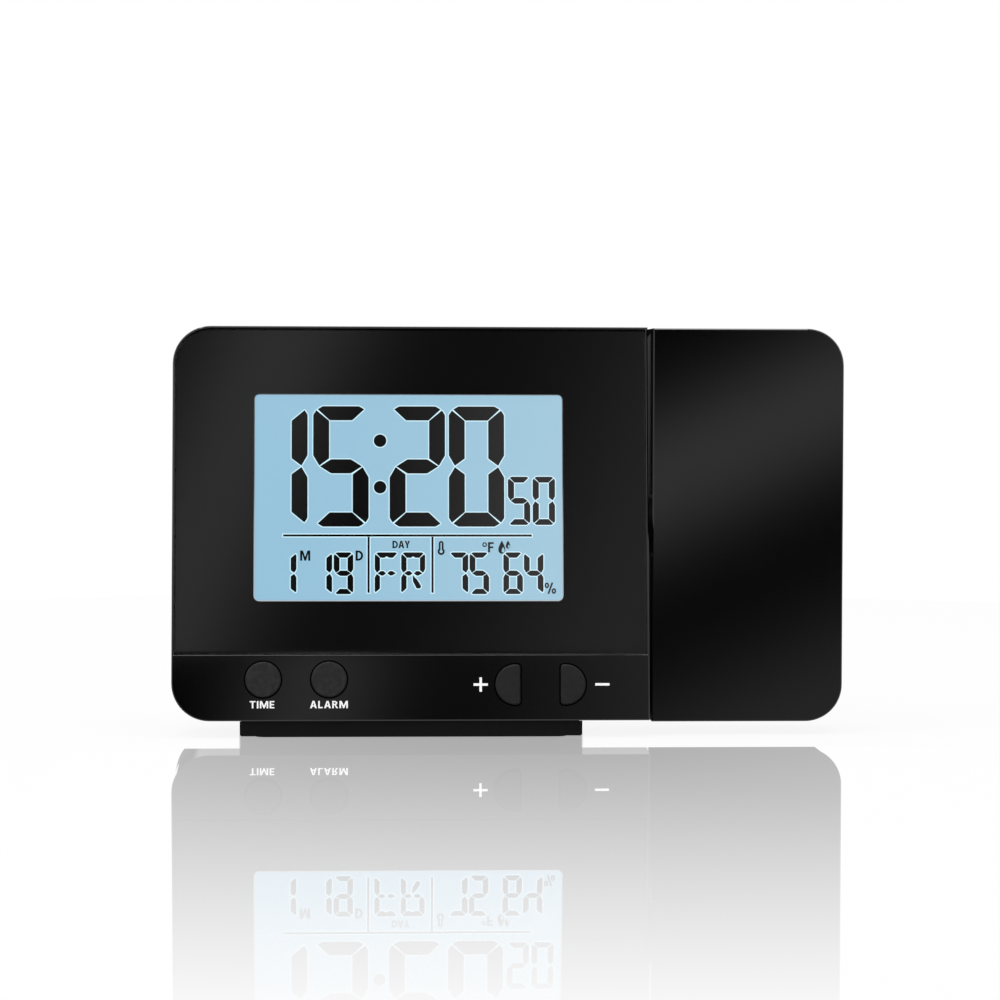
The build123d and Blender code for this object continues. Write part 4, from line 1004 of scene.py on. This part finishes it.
def make_floor():
    """White table top with a soft shadow and a mirror image that fades away from the clock."""
    mesh = bpy.data.meshes.new("floor")
    rim = [(x, y, 0.0) for x, y in circle(0, 0, FLOOR_RADIUS, FLOOR_SIDES)]
    mesh.from_pydata(rim, [], [range(FLOOR_SIDES)])
    in_scene("floor", mesh)
    material = bpy.data.materials.new("floor_white")
    mesh.materials.append(material)
    material.use_nodes = True
    tree = material.node_tree
    tree.nodes.remove(tree.nodes["Principled BSDF"])
    paths = tree.nodes.new("ShaderNodeLightPath")
    seen = calc(tree, "MULTIPLY", paths.outputs["Is Camera Ray"], FLOOR_WHITE)
    shaded = tree.nodes.new("ShaderNodeBsdfDiffuse")
    shaded.inputs["Color"].default_value = FLOOR_COLOR
    white = tree.nodes.new("ShaderNodeEmission")
    mirror = tree.nodes.new("ShaderNodeBsdfGlossy")
    mirror.inputs["Roughness"].default_value = 0.0
    mirror.inputs["Color"].default_value = (1.0, 1.0, 1.0, 1.0)
    clear = tree.nodes.new("ShaderNodeBsdfTransparent")
    lit = mixed(tree, seen, shaded.outputs["BSDF"], white.outputs["Emission"])
    polished = mixed(tree, floor_mirror(tree), lit, mirror.outputs["BSDF"])
    surface = mixed(tree, paths.outputs["Is Glossy Ray"], polished, clear.outputs["BSDF"])
    tree.links.new(surface, tree.nodes["Material Output"].inputs["Surface"])


# Softboxes of the studio as the black gloss mirrors them.  Directions are given as tangents,
# across and high, towards the front or the rear of the clock, and LEAST_DEPTH keeps them finite at
# the sides.  Each long band has a point on its middle line, the lean of that line, its half width
# and its brightness.  The bands lie in a dark window towards the front.  A dark window towards the
# rear keeps the gap beside the arm black.  Elsewhere the studio is grey and rises to white above,
# with a white ring round the sides and the rear.  Every edge is a (place, softness) pair.
STUDIO_GREY = 0.5
GREY_RISE = (0.5, 0.5)
LEAST_DEPTH = 0.05
FRONT_CENTRE = (0.05, -0.1)
FRONT_HALF = ((0.24, 0.08), (0.41, 0.08))
REAR_CENTRE = (0.0, -0.08)
REAR_HALF = ((0.6, 0.06), (0.16, 0.05))
REAR_DARK = 0.004
REAR_START = (0.0, 0.1)
WHITE_LOW = (0.05, 0.01)
WHITE_HIGH = (0.45, 0.1)
WHITE_START = (-0.4, 0.2)
PANEL_BANDS = [((-0.041, 0.18), 0.402, 0.0287, 0.295), ((0.111, 0.18), 0.409, 0.0474, 0.174)]
PANEL_LEVEL = 0.049
STRIP_BANDS = [((-0.01, 0.117), 0.246, 0.0239, 0.276), ((0.16, 0.117), 0.088, 0.084, 0.336)]
STRIP_LEVEL = 0.0
ARM_BANDS = [((0.127, -0.016), 0.474, 0.0235, 0.359), ((0.127, -0.1208), 0.477, 0.0337, 0.224)]
ARM_LEVEL = 0.016
STRIP_EDGE = (0.1265, 0.0005)
ARM_EDGE = (0.06, 0.02)


def make_world():
    """White for the camera, and the studio for everything that the light and the gloss see."""
    world = bpy.data.worlds.new("studio")
    bpy.context.scene.world = world
    world.use_nodes = True
    tree = world.node_tree
    background = tree.nodes["Background"]
    direction = tree.nodes.new("ShaderNodeTexCoord").outputs["Generated"]
    split = tree.nodes.new("ShaderNodeSeparateXYZ")
    tree.links.new(direction, split.inputs["Vector"])
    x, y, z = split.outputs
    depth = calc(tree, "MAXIMUM", calc(tree, "ABSOLUTE", y), LEAST_DEPTH)
    across = calc(tree, "DIVIDE", x, depth)
    high = calc(tree, "DIVIDE", z, depth)

    def bands(rows, level, along, over):
        """Soft bands on an even level; over runs across the bands and along runs along them."""
        total = level
        for (first, second), lean, half, brightness in rows:
            start, middle = (second, first) if over is across else (first, second)
            line = calc(tree, "MULTIPLY_ADD", calc(tree, "SUBTRACT", along, start), lean, middle)
            offset = calc(tree, "DIVIDE", calc(tree, "SUBTRACT", over, line), half)
            square = calc(tree, "MULTIPLY", offset, offset)
            bell = calc(tree, "EXPONENT", calc(tree, "MULTIPLY", square, -1.0))
            total = calc(tree, "MULTIPLY_ADD", bell, brightness, total)
        return total

    def outside(centre, edges):
        """1 outside the window with that centre and those half widths, and 0 inside it."""
        past = []
        for tangent, middle, edge in zip((across, high), centre, edges):
            away = calc(tree, "ABSOLUTE", calc(tree, "SUBTRACT", tangent, middle))
            past.append(soft_step(tree, away, *edge))
        return calc(tree, "MAXIMUM", *past)

    panel = bands(PANEL_BANDS, PANEL_LEVEL, high, across)
    strip = bands(STRIP_BANDS, STRIP_LEVEL, high, across)
    arm = bands(ARM_BANDS, ARM_LEVEL, across, high)
    body = blend(tree, strip, panel, soft_step(tree, high, *STRIP_EDGE))
    mirrored = blend(tree, arm, body, soft_step(tree, high, *ARM_EDGE))
    rise = soft_step(tree, z, *GREY_RISE)
    grey = calc(tree, "MULTIPLY_ADD", rise, 1.0 - STUDIO_GREY, STUDIO_GREY)
    front = blend(tree, mirrored, grey, outside(FRONT_CENTRE, FRONT_HALF))
    above = soft_step(tree, z, *WHITE_LOW)
    ring = calc(tree, "SUBTRACT", above, soft_step(tree, z, *WHITE_HIGH))
    beside = calc(tree, "MULTIPLY", ring, soft_step(tree, y, *WHITE_START))
    behind = blend(tree, REAR_DARK, grey, outside(REAR_CENTRE, REAR_HALF))
    behind = blend(tree, behind, grey, above)
    studio = blend(tree, front, behind, soft_step(tree, y, *REAR_START))
    studio = blend(tree, studio, 1.0, beside)
    camera = tree.nodes.new("ShaderNodeLightPath").outputs["Is Camera Ray"]
    tree.links.new(blend(tree, studio, 1.0, camera), background.inputs["Strength"])
    background.inputs["Color"].default_value = (1.0, 1.0, 1.0, 1.0)


# Area lamps: (name, place, size, power), in metres and watts, all aimed at LAMP_AIM.
LAMP_AIM = Vector((0.0, 0.0, 0.05))
LAMPS = [
    ("overhead", (-0.1, -0.25, 1.1), (1.0, 0.8), 6.0),
    ("side", (-1.0, -0.5, 0.7), (0.6, 0.6), 3.0),
]


def make_lamp(name, place, size, power):
    """A rectangular area lamp."""
    data = bpy.data.lights.new(name, "AREA")
    data.shape = "RECTANGLE"
    data.size, data.size_y = size
    data.energy = power
    lamp = in_scene(name, data)
    lamp.location = place
    lamp.rotation_euler = (LAMP_AIM - Vector(place)).to_track_quat("-Z", "Y").to_euler()


# The camera's place and aim are in millimetres from the origin, its lens and sensor in
# millimetres, its roll in degrees and its clip distances in metres.
CAMERA_PLACE = (-36.4, -720.0, 78.0)
CAMERA_AIM = (-2.3, -20.0, 53.2)
CAMERA_LENS = 113.2
CAMERA_ROLL = 0.15
CAMERA_SENSOR = 36.0
CAMERA_CLIP = (0.01, 20.0)


def make_camera():
    """The camera at the photograph's viewing angle."""
    place, aim = Vector(CAMERA_PLACE) * MM, Vector(CAMERA_AIM) * MM
    data = bpy.data.cameras.new("camera")
    data.sensor_width = CAMERA_SENSOR
    data.lens = CAMERA_LENS
    data.clip_start, data.clip_end = CAMERA_CLIP
    camera = in_scene("camera", data)
    camera.location = place
    turn = (aim - place).to_track_quat("-Z", "Y").to_matrix()
    roll = Matrix.Rotation(math.radians(CAMERA_ROLL), 3, "Z")
    camera.rotation_euler = (turn @ roll).to_euler()
    bpy.context.scene.camera = camera


dress_nodes()
make_display()
make_mask_sheet()
make_window_edge()
make_legends()
make_floor()
make_world()
for lamp_row in LAMPS:
    make_lamp(*lamp_row)
make_camera()
bpy.context.scene.view_settings.view_transform = "Standard"
